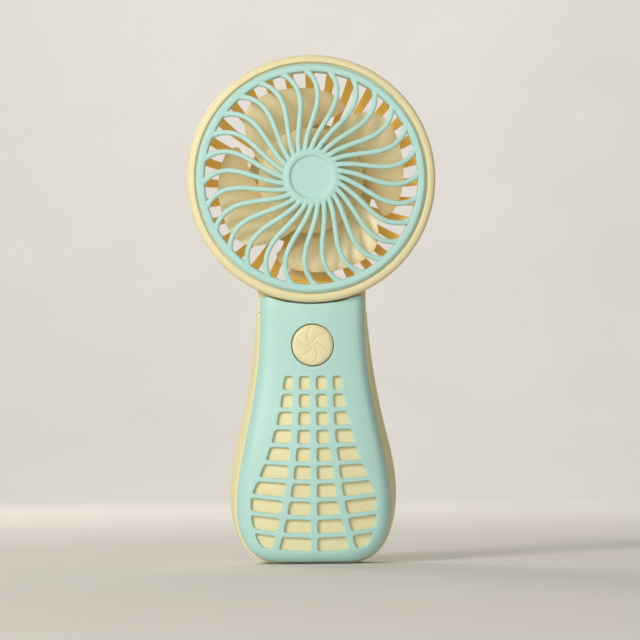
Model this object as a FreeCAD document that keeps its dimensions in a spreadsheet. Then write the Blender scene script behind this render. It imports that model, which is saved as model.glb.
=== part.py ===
import FreeCAD, Part
import math
import os

import Sketcher
from FreeCAD import Placement, Rotation, Vector

# A handheld electric fan: a round caged head on a flat, bellied handle.  Millimetres, +Z up.
# The origin is the middle of the base; the front, with the grille and the button, faces -Y.
# The head, the motor and the button all share the direction of the Y axis.

DIMENSIONS = [
    # name, value, what it is
    ("head_height", 140.07, "height of the head's axis"),
    ("rim_radius", 45.3, "outer radius of the head's rim"),
    ("rim_front", -13.6, "front plane of the rim"),
    ("rim_back", -7.4, "back plane of the rim"),
    ("rim_round", 2.4, "rounding of the rim's bead"),
    ("cage_front_radius", 39.8, "inner radius of the cage where it leaves the rim"),
    ("cage_seat_radius", 20.0, "radius of the cage's flat centre"),
    ("cage_floor", 9.8, "inner face of the cage's flat centre"),
    ("cage_wall", 2.0, "wall of the cage"),
    ("cage_bulge", 1.9, "exponent of the cage's rounded side"),
    ("bar_count", 32, "places for bars round the cage"),
    ("through_cut", 80, "length of a cut right through the head"),
    ("slot_angle", 6.4, "angle of one slot between two bars"),
    ("slot_inner_radius", 21.5, "inner end of a slot"),
    ("slot_outer_radius", 40.2, "outer end of a slot"),
    ("strut_half_width", 7.85, "half width of the solid strut below the hub seat"),
    ("grille_seat_radius", 42.3, "radius of the step that takes the grille"),
    ("grille_seat", -12.55, "depth of that step"),
    ("grille_radius", 42.15, "outer radius of the grille"),
    ("grille_opening_radius", 39.0, "inner radius of the grille's ring"),
    ("grille_ring_front", -14.4, "front of the grille's ring"),
    ("grille_hub_front", -17.0, "front of the grille's hub"),
    ("grille_hub_radius", 10.0, "radius of the grille's hub"),
    ("grille_dish_radius", 8.0, "radius of the shallow dish in the hub"),
    ("grille_dish_depth", 0.7, "depth of the dish"),
    ("grille_thickness", 1.8, "thickness of the grille"),
    ("grille_shoulder", 1.1, "rounding of the ring's outer edge"),
    ("spoke_count", 28, "spokes of the grille"),
    ("spoke_width", 1.8, "width of a spoke"),
    ("hub_radius", 19.3, "outer radius of the impeller's hub"),
    ("hub_front", -12.8, "front of the impeller's hub"),
    ("hub_shoulder", -5.2, "where the hub's dome meets its wall"),
    ("hub_back", 1.5, "open back of the hub"),
    ("hub_wall", 1.4, "wall of the hub"),
    ("blade_count", 4, "blades"),
    ("blade_thickness", 1.1, "thickness of a blade along the axis"),
    ("cup_radius", 13.6, "outer radius of the rotor cup"),
    ("cup_front", -8.6, "front of the rotor cup"),
    ("cup_back", -0.6, "open back of the rotor cup"),
    ("cup_wall", 0.7, "wall of the rotor cup"),
    ("magnet_inner_radius", 11.95, "inner radius of the magnet ring"),
    ("stator_radius", 11.6, "outer radius of the stator"),
    ("stator_front", -6.2, "front of the stator's stack"),
    ("stator_back", -2.6, "back of the stator's stack"),
    ("pole_count", 9, "poles of the stator"),
    ("tube_radius", 3.6, "outer radius of the bearing tube"),
    ("bearing_radius", 2.5, "outer radius of a bearing"),
    ("shaft_radius", 1.0, "radius of the motor's shaft"),
    ("running_gap", 0.04, "clearance between the shaft and a bearing"),
    ("base_radius", 16.0, "radius of the motor's base plate"),
    ("base_front", 7.6, "front of the motor's base plate"),
    ("motor_screw_circle", 9.0, "radius of the circle of the motor's screws"),
    ("cap_radius", 15.4, "radius of the cap behind the hub seat"),
    ("cover_wall", 1.4, "wall of the front cover"),
    ("liner_wall", 1.3, "wall of the inner shell"),
    ("shell_wall", 1.8, "wall of the rear shell"),
    ("nest_gap", 0.1, "gap between nested shells"),
    ("parting", -4.5, "plane where the front cover meets the rear shell"),
    ("ledge", 0.75, "width of the rear shell's rim that shows round the cover"),
    ("widest", 3.0, "plane of the rear shell's widest outline"),
    ("front_crown_radius", 90.0, "radius of the front's crown across the handle"),
    ("back_crown_radius", 60.0, "radius of the back's crown across the handle"),
    ("front_round", 4.2, "rounding of the cover's shoulder"),
    ("back_round", 5.0, "rounding of the back's edge"),
    ("cover_bottom", 0.75, "height of the cover's lower edge"),
    ("base_half_width", 12.0, "half width of the flat base"),
    ("step_height", 95.0, "height of the step near the cover's top"),
    ("step_depth", 0.8, "depth of the recess above the step"),
    ("rim_clearance", 0.5, "gap between the rim and the cover's top"),
    ("shell_top", 91.6, "top of the rear shell"),
    ("neck_half_width", 19.75, "half width of the neck above the rear shell"),
    ("spigot_half_width", 17.3, "half width of the neck's spigot in the rear shell"),
    ("spigot_bottom", 80.6, "lower end of the spigot"),
    ("window_top", 68.1, "top of the first row of windows"),
    ("window_rows", 10, "rows of windows"),
    ("window_pitch", 6.5, "pitch of the rows"),
    ("window_height", 5.1, "height of a window"),
    ("window_rib", 2.3, "width of an upright rib between windows"),
    ("window_round", 0.7, "corner radius of a window"),
    ("shoulder_width", 5.0, "least distance from a window to the cover's outline"),
    ("button_height", 79.3, "height of the button's axis"),
    ("button_radius", 7.4, "radius of the button"),
    ("button_hole_radius", 7.7, "radius of the hole for the button"),
    ("button_flange_radius", 8.3, "radius of the button's hidden flange"),
    ("button_front", -12.6, "front of the button"),
    ("button_travel", 0.4, "travel of the button"),
    ("board_half_width", 10.5, "half width of the control board"),
    ("board_front", -6.4, "front of the control board"),
    ("board_thickness", 1.2, "thickness of a circuit board"),
    ("board_bottom", 72.4, "lower edge of the control board"),
    ("board_top", 90.4, "upper edge of the control board"),
    ("switch_side", 6.2, "side of the switch's housing"),
    ("switch_depth", 3.0, "depth of the switch's housing"),
    ("plunger_radius", 1.75, "radius of the switch's plunger"),
    ("plunger_front", -10.1, "front of the switch's plunger"),
    ("cell_radius", 9.2, "radius of the battery cell"),
    ("cell_length", 64.8, "length of the battery cell"),
    ("cell_bottom", 5.6, "lower end of the battery cell"),
    ("cell_depth", 2.4, "place of the cell's axis along Y"),
    ("socket_height", 76.0, "height of the charging socket's axis"),
    ("socket_half_width", 4.47, "half width of the socket's shell"),
    ("socket_half_height", 1.63, "half height of the socket's shell"),
    ("socket_length", 7.3, "length of the socket"),
    ("socket_front", 12.7, "mouth of the socket"),
    ("lamp_offset", 8.0, "distance of the indicator lamp from the middle"),
    ("lamp_radius", 1.1, "radius of the light pipe"),
    ("shell_screw_x", 14.5, "distance of the upper shell screws from the middle"),
    ("low_screw_x", 17.5, "distance of the lower shell screws from the middle"),
    ("screw_seat", 6.0, "plane under the shell screws' heads"),
    ("wire_radius", 0.45, "radius of a wire with its sheath"),
]

# Half widths of the handle at the same heights: the cover's edge, and the rear shell's widest line.
OUTLINE_HEIGHTS = [4.6, 12.0, 22.0, 37.4, 52.0, 66.6, 84.8]
COVER_HALF_WIDTHS = [22.7, 26.85, 27.9, 26.0, 23.1, 20.5, 19.05]
SHELL_HALF_WIDTHS = [24.1, 28.35, 30.35, 29.4, 26.1, 23.2, 20.85]
# Height and depth of the middle of the front and of the back.
FRONT_LINE = [(-6, -12.6), (12, -15.2), (28, -16.1), (50, -14.9), (74, -12.5), (106, -11.8)]
BACK_LINE = [(-6, 13.0), (12, 16.2), (28, 17.0), (50, 15.6), (74, 13.2), (106, 12.2)]

doc = FreeCAD.newDocument("handheld_fan")
sheet = doc.addObject("Spreadsheet::Sheet", "dims")
for row, (alias, number, meaning) in enumerate(DIMENSIONS, 1):
    sheet.set(f"A{row}", alias)
    sheet.set(f"B{row}", str(number))
    sheet.set(f"C{row}", meaning)
    sheet.setAlias(f"B{row}", alias)
doc.recompute()

subparts = {}


# ---------------------------------------------------------------- helpers

def dim(alias):
    """One driving dimension as a number."""
    return float(sheet.get(alias))


def bound(expression):
    """Write a short expression, such as 'hub_radius - hub_wall', with the sheet's name."""
    words = str(expression).replace("(", "( ").replace(")", " )").split()
    names = {entry[0] for entry in DIMENSIONS}
    return " ".join(f"dims.{word}" if word in names else word for word in words)


def number(expression):
    return float(sheet.evalExpression(bound(expression)))


def bind(item, **expressions):
    """Bind properties of an object to the sheet; x, y and z place it."""
    for name, expression in expressions.items():
        path = f"Placement.Base.{name}" if name in ("x", "y", "z") else name
        item.setExpression(path, bound(expression))
    return item


def keep(item, node):
    """Name a finished sub-part; its label becomes its file's name."""
    item.Label = node
    subparts[node] = item
    return item


def plane(body, role):
    return next(item for item in body.Origin.OriginFeatures if item.Role == role)


def sketch_on(body, role, name):
    sketch = body.newObject("Sketcher::SketchObject", name)
    sketch.AttachmentSupport = (plane(body, role), [""])
    sketch.MapMode = "FlatFace"
    return sketch


def bound_polygon(sketch, corners):
    """A closed polygon whose corners are pairs of expressions, each held by two constraints."""
    places = [Vector(number(across), number(up), 0) for across, up in corners]
    first = sketch.GeometryCount
    count = len(places)
    for place, following in zip(places, places[1:] + places[:1]):
        sketch.addGeometry(Part.LineSegment(place, following), False)
    for index in range(count):
        join = Sketcher.Constraint("Coincident", first + index, 2, first + (index + 1) % count, 1)
        sketch.addConstraint(join)
    for index, (corner, place) in enumerate(zip(corners, places)):
        for kind, expression, value in (("DistanceX", corner[0], place.x), ("DistanceY", corner[1], place.y)):
            held = sketch.addConstraint(Sketcher.Constraint(kind, -1, 1, first + index, 1, value))
            sketch.setExpression(f"Constraints[{held}]", bound(expression))


def revolve_section(body, sketch):
    """Turn a sketched half section once round its upright axis."""
    revolution = body.newObject("PartDesign::Revolution", sketch.Name + "_turn")
    revolution.Profile = sketch
    revolution.ReferenceAxis = (sketch, ["V_Axis"])
    revolution.Angle = 360
    return revolution


def turned(name, corners, height="head_height"):
    """A body turned about the Y direction from a half section of (radius, depth) corners."""
    body = bind(doc.addObject("PartDesign::Body", name), z=height)
    sketch = sketch_on(body, "XY_Plane", name + "_section")
    bound_polygon(sketch, corners)
    revolve_section(body, sketch)
    return body


def polar(body, feature, count, angle=360.0):
    """Repeat a feature about the body's Y axis; the pattern becomes the body's tip."""
    pattern = body.newObject("PartDesign::PolarPattern", feature.Name + "_round")
    pattern.Originals = [feature]
    pattern.Axis = (plane(body, "Y_Axis"), [""])
    pattern.Angle = angle
    pattern.Occurrences = count
    body.Tip = pattern
    return pattern


def pad_both_ways(body, kind, sketch, length):
    feature = body.newObject("PartDesign::" + kind, sketch.Name + "_" + kind.lower())
    feature.Profile = sketch
    feature.Midplane = True
    feature.Length = length
    return feature


def rod(name, radius, front, back, across="0", height="head_height"):
    """A round bar along Y between two depths."""
    item = doc.addObject("Part::Cylinder", name)
    item.Placement = Placement(Vector(), Rotation(Vector(1, 0, 0), -90))
    return bind(item, Radius=radius, Height=f"( {back} ) - ( {front} )", x=across, y=front, z=height)


def block(name, low, high):
    """A box between two corners, each three expressions."""
    item = doc.addObject("Part::Box", name)
    sizes = [f"( {far} ) - ( {near} )" for near, far in zip(low, high)]
    return bind(item, Length=sizes[0], Width=sizes[1], Height=sizes[2], x=low[0], y=low[1], z=low[2])


def joined(name, *items):
    fuse = doc.addObject("Part::MultiFuse", name)
    fuse.Shapes = list(items)
    return fuse


def grouped(name, *items):
    group = doc.addObject("Part::Compound", name)
    group.Links = list(items)
    return group


def cut(name, base, *tools):
    """Take the tools from the base one after another; a list is a set that is taken at once."""
    result = base
    for index, tool in enumerate(tools):
        label = name if index == len(tools) - 1 else f"{name}_{index + 1}"
        step = doc.addObject("Part::Cut", label)
        step.Base = result
        step.Tool = grouped(label + "_set", *tool) if isinstance(tool, list) else tool
        result = step
    return result


def common(name, base, tool):
    result = doc.addObject("Part::Common", name)
    result.Base = base
    result.Tool = tool
    return result


def shaped(name, shape, height="0"):
    """A feature whose shape is worked out here from the sheet's values, raised to a height."""
    item = doc.addObject("Part::Feature", name)
    item.Shape = shape
    item.Placement = Placement()
    return bind(item, z=height)


def smooth(points, start=None, end=None):
    """A smooth curve through points, with its end directions where they are given."""
    curve = Part.BSplineCurve()
    if start and end:
        curve.interpolate(Points=points, InitialTangent=start, FinalTangent=end, Scale=False)
    else:
        curve.interpolate(points)
    return curve


def polar_point(radius, angle, depth=0.0):
    """A point round the head's axis; the angle is in degrees, anticlockwise from the right."""
    turn = math.radians(angle)
    return Vector(radius * math.cos(turn), depth, radius * math.sin(turn))


# ---------------------------------------------------------------- head: cage, grille

def cage_curve(radius, floor):
    """Points of the cage's side, a superellipse from the rim's back to the flat centre."""
    seat, start, bulge = dim("cage_seat_radius"), dim("rim_back"), dim("cage_bulge")
    points = []
    for step in range(9):
        turn = math.pi / 2 * step / 8
        out = math.cos(turn) ** (2 / bulge)
        back = math.sin(turn) ** (2 / bulge)
        points.append(Vector(seat + (radius - seat) * out, start + (floor - start) * back, 0))
    return points


def cage_section(sketch, corners, radius, floor):
    """Straight runs between the corners, closed by the cage's curved side."""
    curve = cage_curve(radius, floor)
    places = [Vector(*corner, 0) for corner in corners]
    run = [curve[-1]] + places + [curve[0]]
    for near, far in zip(run, run[1:]):
        sketch.addGeometry(Part.LineSegment(near, far), False)
    sketch.addGeometry(smooth(curve), False)


def cage_shell():
    """The rim and the bars, still without the bowl's hollow."""
    body = bind(doc.addObject("PartDesign::Body", "cage_form"), z="head_height")
    section = sketch_on(body, "XY_Plane", "cage_form_section")
    wall, floor = dim("cage_wall"), dim("cage_floor") + dim("cage_wall")
    rim, front, back = dim("rim_radius"), dim("rim_front"), dim("rim_back")
    cage_section(section, [(0, floor), (0, front), (rim, front), (rim, back)],
                 dim("cage_front_radius") + wall, floor)
    solid = revolve_section(body, section)
    doc.recompute()
    bead = [f"Edge{index}" for index, edge in enumerate(solid.Shape.Edges, 1)
            if abs(edge.BoundBox.XMax - rim) < 0.01 and edge.BoundBox.YLength < 0.01]
    rounding = body.newObject("PartDesign::Fillet", "rim_bead")
    rounding.Base = (solid, bead)
    rounding.setExpression("Radius", "dims.rim_round")
    doc.recompute()
    pitch = 360 / dim("bar_count")
    first = 270 + 1.5 * pitch
    half = dim("slot_angle") / 2
    inner, outer = dim("slot_inner_radius"), dim("slot_outer_radius")
    slot = sketch_on(body, "XZ_Plane", "cage_slot")
    flat = [Vector(place.x, place.z, 0) for place in (
        polar_point(inner, first - half), polar_point(inner, first), polar_point(inner, first + half),
        polar_point(outer, first + half), polar_point(outer, first), polar_point(outer, first - half))]
    slot.addGeometry(Part.Arc(flat[0], flat[1], flat[2]), False)
    slot.addGeometry(Part.LineSegment(flat[2], flat[3]), False)
    slot.addGeometry(Part.Arc(flat[3], flat[4], flat[5]), False)
    slot.addGeometry(Part.LineSegment(flat[5], flat[0]), False)
    pocket = pad_both_ways(body, "Pocket", slot, dim("through_cut"))
    slots = int(dim("bar_count")) - 2
    pattern = polar(body, pocket, slots, pitch * (slots - 1))
    pattern.Reversed = True
    return body


def bowl_hollow():
    """The space inside the head, with the step that takes the grille."""
    body = bind(doc.addObject("PartDesign::Body", "bowl_hollow"), z="head_height")
    section = sketch_on(body, "XY_Plane", "bowl_section")
    radius, floor = dim("cage_front_radius"), dim("cage_floor")
    seat, step = dim("grille_seat_radius"), dim("grille_seat")
    cage_section(section, [(0, floor), (0, -20), (seat, -20), (seat, step), (radius, step)], radius, floor)
    revolve_section(body, section)
    return body


def spoke_line(radius):
    """Angle of a spoke's middle at a radius, from its inner end: it leans back, then recovers."""
    inner, outer = dim("grille_hub_radius"), dim("grille_opening_radius")
    along = (radius - inner) / (outer - inner)
    return -49.7 * along + 25.0 * along ** 2 + 13.45 * along ** 3


def grille():
    """A thin dome with a dished hub; the gaps between the curved spokes are cut through it."""
    body = bind(doc.addObject("PartDesign::Body", "grille_form"), z="head_height")
    hub, dish = dim("grille_hub_radius"), dim("grille_dish_radius")
    ring, edge = dim("grille_opening_radius"), dim("grille_radius")
    front, low = dim("grille_hub_front"), dim("grille_ring_front")
    thick, deep = dim("grille_thickness"), dim("grille_dish_depth")
    shoulder = dim("grille_shoulder")
    middle = ((hub + ring) / 2, front + 0.30 * (low - front))
    section = sketch_on(body, "XY_Plane", "grille_section")
    face = [Vector(0, front + deep, 0), Vector(dish - 0.3, front + deep, 0), Vector(dish, front, 0),
            Vector(hub, front, 0)]
    for near, far in zip(face, face[1:]):
        section.addGeometry(Part.LineSegment(near, far), False)
    section.addGeometry(Part.Arc(face[-1], Vector(*middle, 0), Vector(ring, low, 0)), False)
    rim = [Vector(ring, low, 0), Vector(edge - shoulder, low, 0)]
    section.addGeometry(Part.LineSegment(*rim), False)
    slant = shoulder * math.sqrt(0.5)
    knee = Vector(edge - shoulder + slant, low + shoulder - slant, 0)
    corner = Vector(edge, low + shoulder, 0)
    section.addGeometry(Part.Arc(rim[1], knee, corner), False)
    back = [corner, Vector(edge, low + thick, 0), Vector(ring - 0.5, low + thick, 0)]
    for near, far in zip(back, back[1:]):
        section.addGeometry(Part.LineSegment(near, far), False)
    inner = Vector(hub, front + thick + 0.3, 0)
    section.addGeometry(Part.Arc(back[-1], Vector(middle[0], middle[1] + thick, 0), inner), False)
    centre = Vector(0, inner.y, 0)
    section.addGeometry(Part.LineSegment(inner, centre), False)
    section.addGeometry(Part.LineSegment(centre, face[0]), False)
    revolve_section(body, section)
    doc.recompute()

    pitch = 360 / dim("spoke_count")
    radii = [hub + 0.2 + (ring - hub - 0.2) * step / 6 for step in range(7)]

    def side(angle_of_spoke, sign):
        points = []
        for radius in radii:
            shift = math.degrees(dim("spoke_width") / 2 / radius)
            place = polar_point(radius, angle_of_spoke + spoke_line(radius) + sign * shift)
            points.append(Vector(place.x, place.z, 0))
        return points

    right, left = side(90, +1), side(90 + pitch, -1)

    def middle_of(first, second):
        across = first + second
        return across * (first.Length / across.Length)

    gap = sketch_on(body, "XZ_Plane", "grille_gap")
    gap.addGeometry(smooth(right), False)
    gap.addGeometry(Part.Arc(right[-1], middle_of(right[-1], left[-1]), left[-1]), False)
    gap.addGeometry(smooth(left[::-1]), False)
    gap.addGeometry(Part.Arc(left[0], middle_of(left[0], right[0]), right[0]), False)
    pocket = pad_both_ways(body, "Pocket", gap, dim("through_cut"))
    polar(body, pocket, int(dim("spoke_count")))
    return body


# ---------------------------------------------------------------- head: impeller

def hub_form(name, inset):
    """The domed hub as a solid, or the space inside it."""
    front, shoulder, back = dim("hub_front") + inset, dim("hub_shoulder") + inset * 0.4, dim("hub_back")
    radius = dim("hub_radius") - inset
    points = [Vector(0, front, 0), Vector(radius * 0.38, front + 0.15, 0),
              Vector(radius * 0.72, front + 2.2, 0),
              Vector(radius * 0.93, front + 5.0, 0), Vector(radius, shoulder, 0)]
    dome = smooth(points, Vector(1, 0, 0), Vector(0, 1, 0)).toShape()
    corners = [points[-1], Vector(radius, back + (1 if inset else 0), 0),
               Vector(0, back + (1 if inset else 0), 0), points[0]]
    lines = [Part.makeLine(near, far) for near, far in zip(corners, corners[1:])]
    face = Part.Face(Part.Wire([dome] + lines))
    return shaped(name, face.revolve(Vector(), Vector(0, 1, 0), 360), "head_height")


def blade_shape(turn):
    """One blade: a twisted sheet that leans forward at its tip, given a thickness along Y."""
    root, join, tip_front, tip_drop, corner = 17.4, 19.2, 35.9, 3.2, 3.4
    rows, columns = 7, 15
    grid = []
    for along in range(rows):
        line = []
        for over in range(columns):
            across = 0.5 - 0.5 * math.cos(math.pi * over / (columns - 1))
            tip = tip_front - tip_drop * across - corner * abs(2 * across - 1) ** 9
            radius = root + (tip - root) * along / (rows - 1)
            reach = (radius - join) / (tip_front - join)
            front_angle = 30 - 28 * reach
            bend = min(max(reach / 0.72, -0.2), 1)
            rear_angle = -37 - 31 * (1 - (1 - bend) ** 2)
            angle = turn + front_angle + (rear_angle - front_angle) * across
            lift = min(max(reach, 0) * 1.3, 1)
            front_depth, rear_depth = -7.6 - 3.9 * lift, -1.6 * lift
            camber = 0.8 * math.sin(math.pi * across)
            depth = front_depth + (rear_depth - front_depth) * across - camber
            line.append(polar_point(radius, angle, depth))
        grid.append(line)
    surface = Part.BSplineSurface()
    surface.interpolate(grid)
    return surface.toShape().extrude(Vector(0, dim("blade_thickness"), 0))


def impeller():
    """The hub, its blades, and the sleeve inside it that grips the rotor cup."""
    pitch = 360 / dim("blade_count")
    blades = [shaped(f"blade_{index + 1}", blade_shape(41.5 + pitch * index), "head_height")
              for index in range(int(dim("blade_count")))]
    whole = joined("impeller_solid", hub_form("hub_solid", 0), *blades)
    hollow = cut("impeller_hollow", whole, hub_form("hub_space", dim("hub_wall")))
    sleeve = turned("hub_sleeve", [
        ("cup_radius", "cup_front - 1.2"), ("cup_radius + 1.2", "cup_front - 1.2"),
        ("cup_radius + 1.2", "cup_back - 1.4"), ("cup_radius", "cup_back - 1.4")])
    boss = turned("hub_boss", [
        ("shaft_radius", "hub_front + 0.6"), ("3.4", "hub_front + 0.6"), ("3.4", "cup_front"),
        ("shaft_radius", "cup_front")])
    return joined("impeller_whole", hollow, sleeve, boss)


# ---------------------------------------------------------------- head: motor

def stator():
    """The laminated stack: a ring, one pole and its shoe, repeated round the tube."""
    body = bind(doc.addObject("PartDesign::Body", "stator_form"), z="head_height")
    ring = sketch_on(body, "XY_Plane", "stator_ring_section")
    bound_polygon(ring, [("tube_radius + 0.05", "stator_front"), ("5.2", "stator_front"),
                         ("5.2", "stator_back"), ("tube_radius + 0.05", "stator_back")])
    revolve_section(body, ring)
    doc.recompute()
    pole = sketch_on(body, "XZ_Plane", "stator_pole")
    pole.AttachmentOffset = Placement(Vector(0, 0, -dim("stator_front")), Rotation())
    radius, shoe, half = dim("stator_radius"), 9.9, 16.0
    stem = 0.8
    places = [Vector(4.6, -stem, 0), Vector(shoe, -stem, 0)]
    low, high = polar_point(shoe + 0.5, -half), polar_point(radius, -half)
    places += [Vector(low.x, low.z, 0), Vector(high.x, high.z, 0)]
    mirror = [Vector(place.x, -place.y, 0) for place in places[::-1]]
    run = places + mirror
    for index, (near, far) in enumerate(zip(run, run[1:] + run[:1])):
        if index == 3:
            pole.addGeometry(Part.Arc(near, Vector(radius, 0, 0), far), False)
        else:
            pole.addGeometry(Part.LineSegment(near, far), False)
    pad = body.newObject("PartDesign::Pad", "stator_pole_pad")
    pad.Profile = pole
    pad.Reversed = True
    pad.setExpression("Length", "dims.stator_back - dims.stator_front")
    polar(body, pad, int(dim("pole_count")))
    return body


def windings():
    """One coil round each pole, each a separate solid."""
    coils = []
    outer = block("coil_outer", ("5.6", "stator_front - 1.0", "-1.55"), ("9.6", "stator_back + 1.0", "1.55"))
    bore = block("coil_bore", ("5.0", "stator_front - 0.1", "-0.9"), ("10.2", "stator_back + 0.1", "0.9"))
    coil = cut("coil", outer, bore)
    doc.recompute()
    for index in range(int(dim("pole_count"))):
        shape = coil.Shape.copy()
        shape.rotate(Vector(), Vector(0, 1, 0), -360 / dim("pole_count") * index)
        coils.append(shape)
    return shaped("coils", Part.Compound(coils), "head_height")


def at_motor_screws(name, radius, front, back):
    """One bar along Y at each of the motor's three screws."""
    bars = []
    for index in range(3):
        place = polar_point(dim("motor_screw_circle"), 30 + 120 * index)
        bars.append(rod(f"{name}_{index + 1}", radius, front, back, f"{place.x:.4f}",
                        f"head_height + {place.z:.4f}"))
    return bars


def motor():
    keep(turned("cup", [
        ("shaft_radius", "cup_front"), ("cup_radius", "cup_front"), ("cup_radius", "cup_back"),
        ("cup_radius - cup_wall", "cup_back"), ("cup_radius - cup_wall", "cup_front + cup_wall"),
        ("2.2", "cup_front + cup_wall"), ("2.2", "cup_front + 1.4"), ("shaft_radius", "cup_front + 1.4")]),
        "rotor_cup")
    keep(turned("magnets", [
        ("magnet_inner_radius", "cup_front + 2.0"), ("cup_radius - cup_wall", "cup_front + 2.0"),
        ("cup_radius - cup_wall", "cup_back - 0.2"), ("magnet_inner_radius", "cup_back - 0.2")]),
        "magnet_ring")
    keep(rod("shaft", "shaft_radius", "cup_front - 2.4", "9.0"), "motor_shaft")
    for node, front in (("front_bearing", "-6.8"), ("rear_bearing", "5.2")):
        keep(turned(node + "_form", [
            ("shaft_radius + running_gap", front), ("bearing_radius", front),
            ("bearing_radius", front + " + 2.6"), ("shaft_radius + running_gap", front + " + 2.6")]), node)
    keep(stator(), "stator_core")
    keep(windings(), "stator_windings")
    board = turned("driver_board_form", [
        ("tube_radius + 0.05", "0.4"), ("11.2", "0.4"), ("11.2", "0.4 + board_thickness"),
        ("tube_radius + 0.05", "0.4 + board_thickness")])
    keep(board, "motor_board")
    keep(block("driver_chip", ("-7.2", "1.6", "head_height + 4.2"), ("-3.9", "2.6", "head_height + 8.6")),
         "motor_driver_chip")
    base = turned("motor_base_form", [
        ("bearing_radius", "-7.0"), ("tube_radius", "-7.0"), ("tube_radius", "base_front - 1.4"),
        ("tube_radius + 2.2", "base_front"), ("base_radius", "base_front"), ("base_radius", "cage_floor"),
        ("bearing_radius", "cage_floor")])
    pilots = at_motor_screws("motor_pilot", "0.78", "base_front - 1", "cage_floor + 1")
    keep(cut("motor_base_drilled", base, pilots), "motor_base")
    shanks = at_motor_screws("motor_shank", "0.78", "base_front + 0.2", "cage_floor + 1.0")
    heads = at_motor_screws("motor_head", "1.5", "cage_floor + 1.0", "cage_floor + 1.9")
    pairs = [joined(f"motor_screw_{index + 1}", *pair) for index, pair in enumerate(zip(shanks, heads))]
    keep(grouped("motor_screw_set", *pairs), "motor_screws")


# ---------------------------------------------------------------- handle: outer forms

def outline_points(half_widths, bottom, top_half_width, top, offset=0.0):
    """Right side of an outline from the flat base up, moved outwards along its own normals."""
    points = [Vector(dim("base_half_width"), bottom, 0)]
    points += [Vector(wide, high, 0) for wide, high in zip(half_widths, OUTLINE_HEIGHTS)]
    points.append(Vector(top_half_width, top, 0))
    curve = smooth(points, Vector(1, 0, 0), Vector(0, 1, 0))
    moved = []
    for point in points:
        along = curve.tangent(curve.parameter(point))[0]
        moved.append(point + Vector(along.y, -along.x, 0) * offset)
    return moved


def outline_wire(points, depth):
    """The closed outline at one depth: base, right side, top, left side."""
    right = [Vector(point.x, depth, point.y) for point in points]
    left = [Vector(-point.x, depth, point.y) for point in points[::-1]]
    side = smooth(right, Vector(1, 0, 0), Vector(0, 0, 1)).toShape()
    other = smooth(left, Vector(0, 0, -1), Vector(1, 0, 0)).toShape()
    return Part.Wire([Part.makeLine(left[-1], right[0]), side, Part.makeLine(right[-1], left[0]), other])


def crowned_solid(line, crown_radius, inset, sign):
    """A solid turned about an upright axis, so that its face is crowned across the handle."""
    axis = -sign * crown_radius
    points = [Vector(0, depth - sign * inset, high) for high, depth in line]
    face_curve = smooth(points).toShape()
    top, bottom = Vector(0, axis, line[-1][0]), Vector(0, axis, line[0][0])
    runs = [Part.makeLine(points[-1], top), Part.makeLine(top, bottom), Part.makeLine(bottom, points[0])]
    face = Part.Face(Part.Wire([face_curve] + runs))
    face.rotate(Vector(0, axis, 0), Vector(0, 0, 1), -60)
    return face.revolve(Vector(0, axis, 0), Vector(0, 0, 1), 120)


def rounded_face_edges(solid, radius, sign, top):
    """Round the edge between the crowned face and the sides, but not along the cut top."""
    crowned = max(solid.Faces, key=lambda face: sign * face.CenterOfMass.y)
    edges = [edge for edge in crowned.Edges if edge.BoundBox.ZMin < top - 0.5]
    return solid.makeFillet(radius, edges)


def cover_points(inset, top=100.0):
    return outline_points(COVER_HALF_WIDTHS, dim("cover_bottom"), COVER_HALF_WIDTHS[-1], top, -inset)


def front_form(inset, front_inset, back=None):
    """The front of the handle as a solid: its outline and its crowned face, both set in."""
    back = dim("parting") if back is None else back
    prism = Part.Face(outline_wire(cover_points(inset), back)).extrude(Vector(0, -20, 0))
    solid = prism.common(crowned_solid(FRONT_LINE, dim("front_crown_radius"), front_inset, -1))
    return rounded_face_edges(solid, max(dim("front_round") - inset, 1.2), -1, 100.0)


def rear_form(inset, top, ledge_offset):
    """The back of the handle: it flares from the ledge to its widest line, then rounds off."""
    start, wide = dim("parting"), dim("widest")
    ledge = outline_points(COVER_HALF_WIDTHS, dim("cover_bottom"), COVER_HALF_WIDTHS[-1], top, ledge_offset)
    outer = outline_points(SHELL_HALF_WIDTHS, 0.0, 20.4, top, -inset)
    middle = [near + (far - near) * 0.75 for near, far in zip(ledge, outer)]
    flare = Part.makeLoft([outline_wire(ledge, start), outline_wire(middle, (start + wide) / 2),
                           outline_wire(outer, wide)], True, False)
    prism = Part.Face(outline_wire(outer, wide)).extrude(Vector(0, 20, 0))
    back = prism.common(crowned_solid(BACK_LINE, dim("back_crown_radius"), inset, 1))
    back = rounded_face_edges(back, dim("back_round") - inset * 0.6, 1, top)
    return flare.fuse(back)


def neck_form(half_width, inset, low, high):
    """A length of neck with straight sides and the same crowned, rounded back."""
    width, start = 2 * half_width, dim("parting") + dim("nest_gap")
    prism = Part.makeBox(width, 20, high - low, Vector(-half_width, start, low))
    solid = prism.common(crowned_solid(BACK_LINE, dim("back_crown_radius"), inset, 1))
    crowned = max(solid.Faces, key=lambda face: face.CenterOfMass.y)
    edges = [edge for edge in crowned.Edges if edge.BoundBox.ZLength > 1]
    return solid.makeFillet(dim("back_round"), edges)


def rim_arc(name, gap):
    """The round space that the head's rim takes out of the top of the handle."""
    return rod(name, f"rim_radius + {gap}", "-30", "30")


# ---------------------------------------------------------------- handle: windows

def window_edges(row_place):
    """Half widths of a row's inner and outer windows; row_place runs from 0 at the top."""
    share = row_place / (dim("window_rows") - 1)
    inner = 4.96 + 6.54 * share ** 2.2
    spread = 10.7 + 1.05 * row_place + 0.135 * row_place ** 2
    return inner, inner + dim("window_rib"), spread


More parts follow.
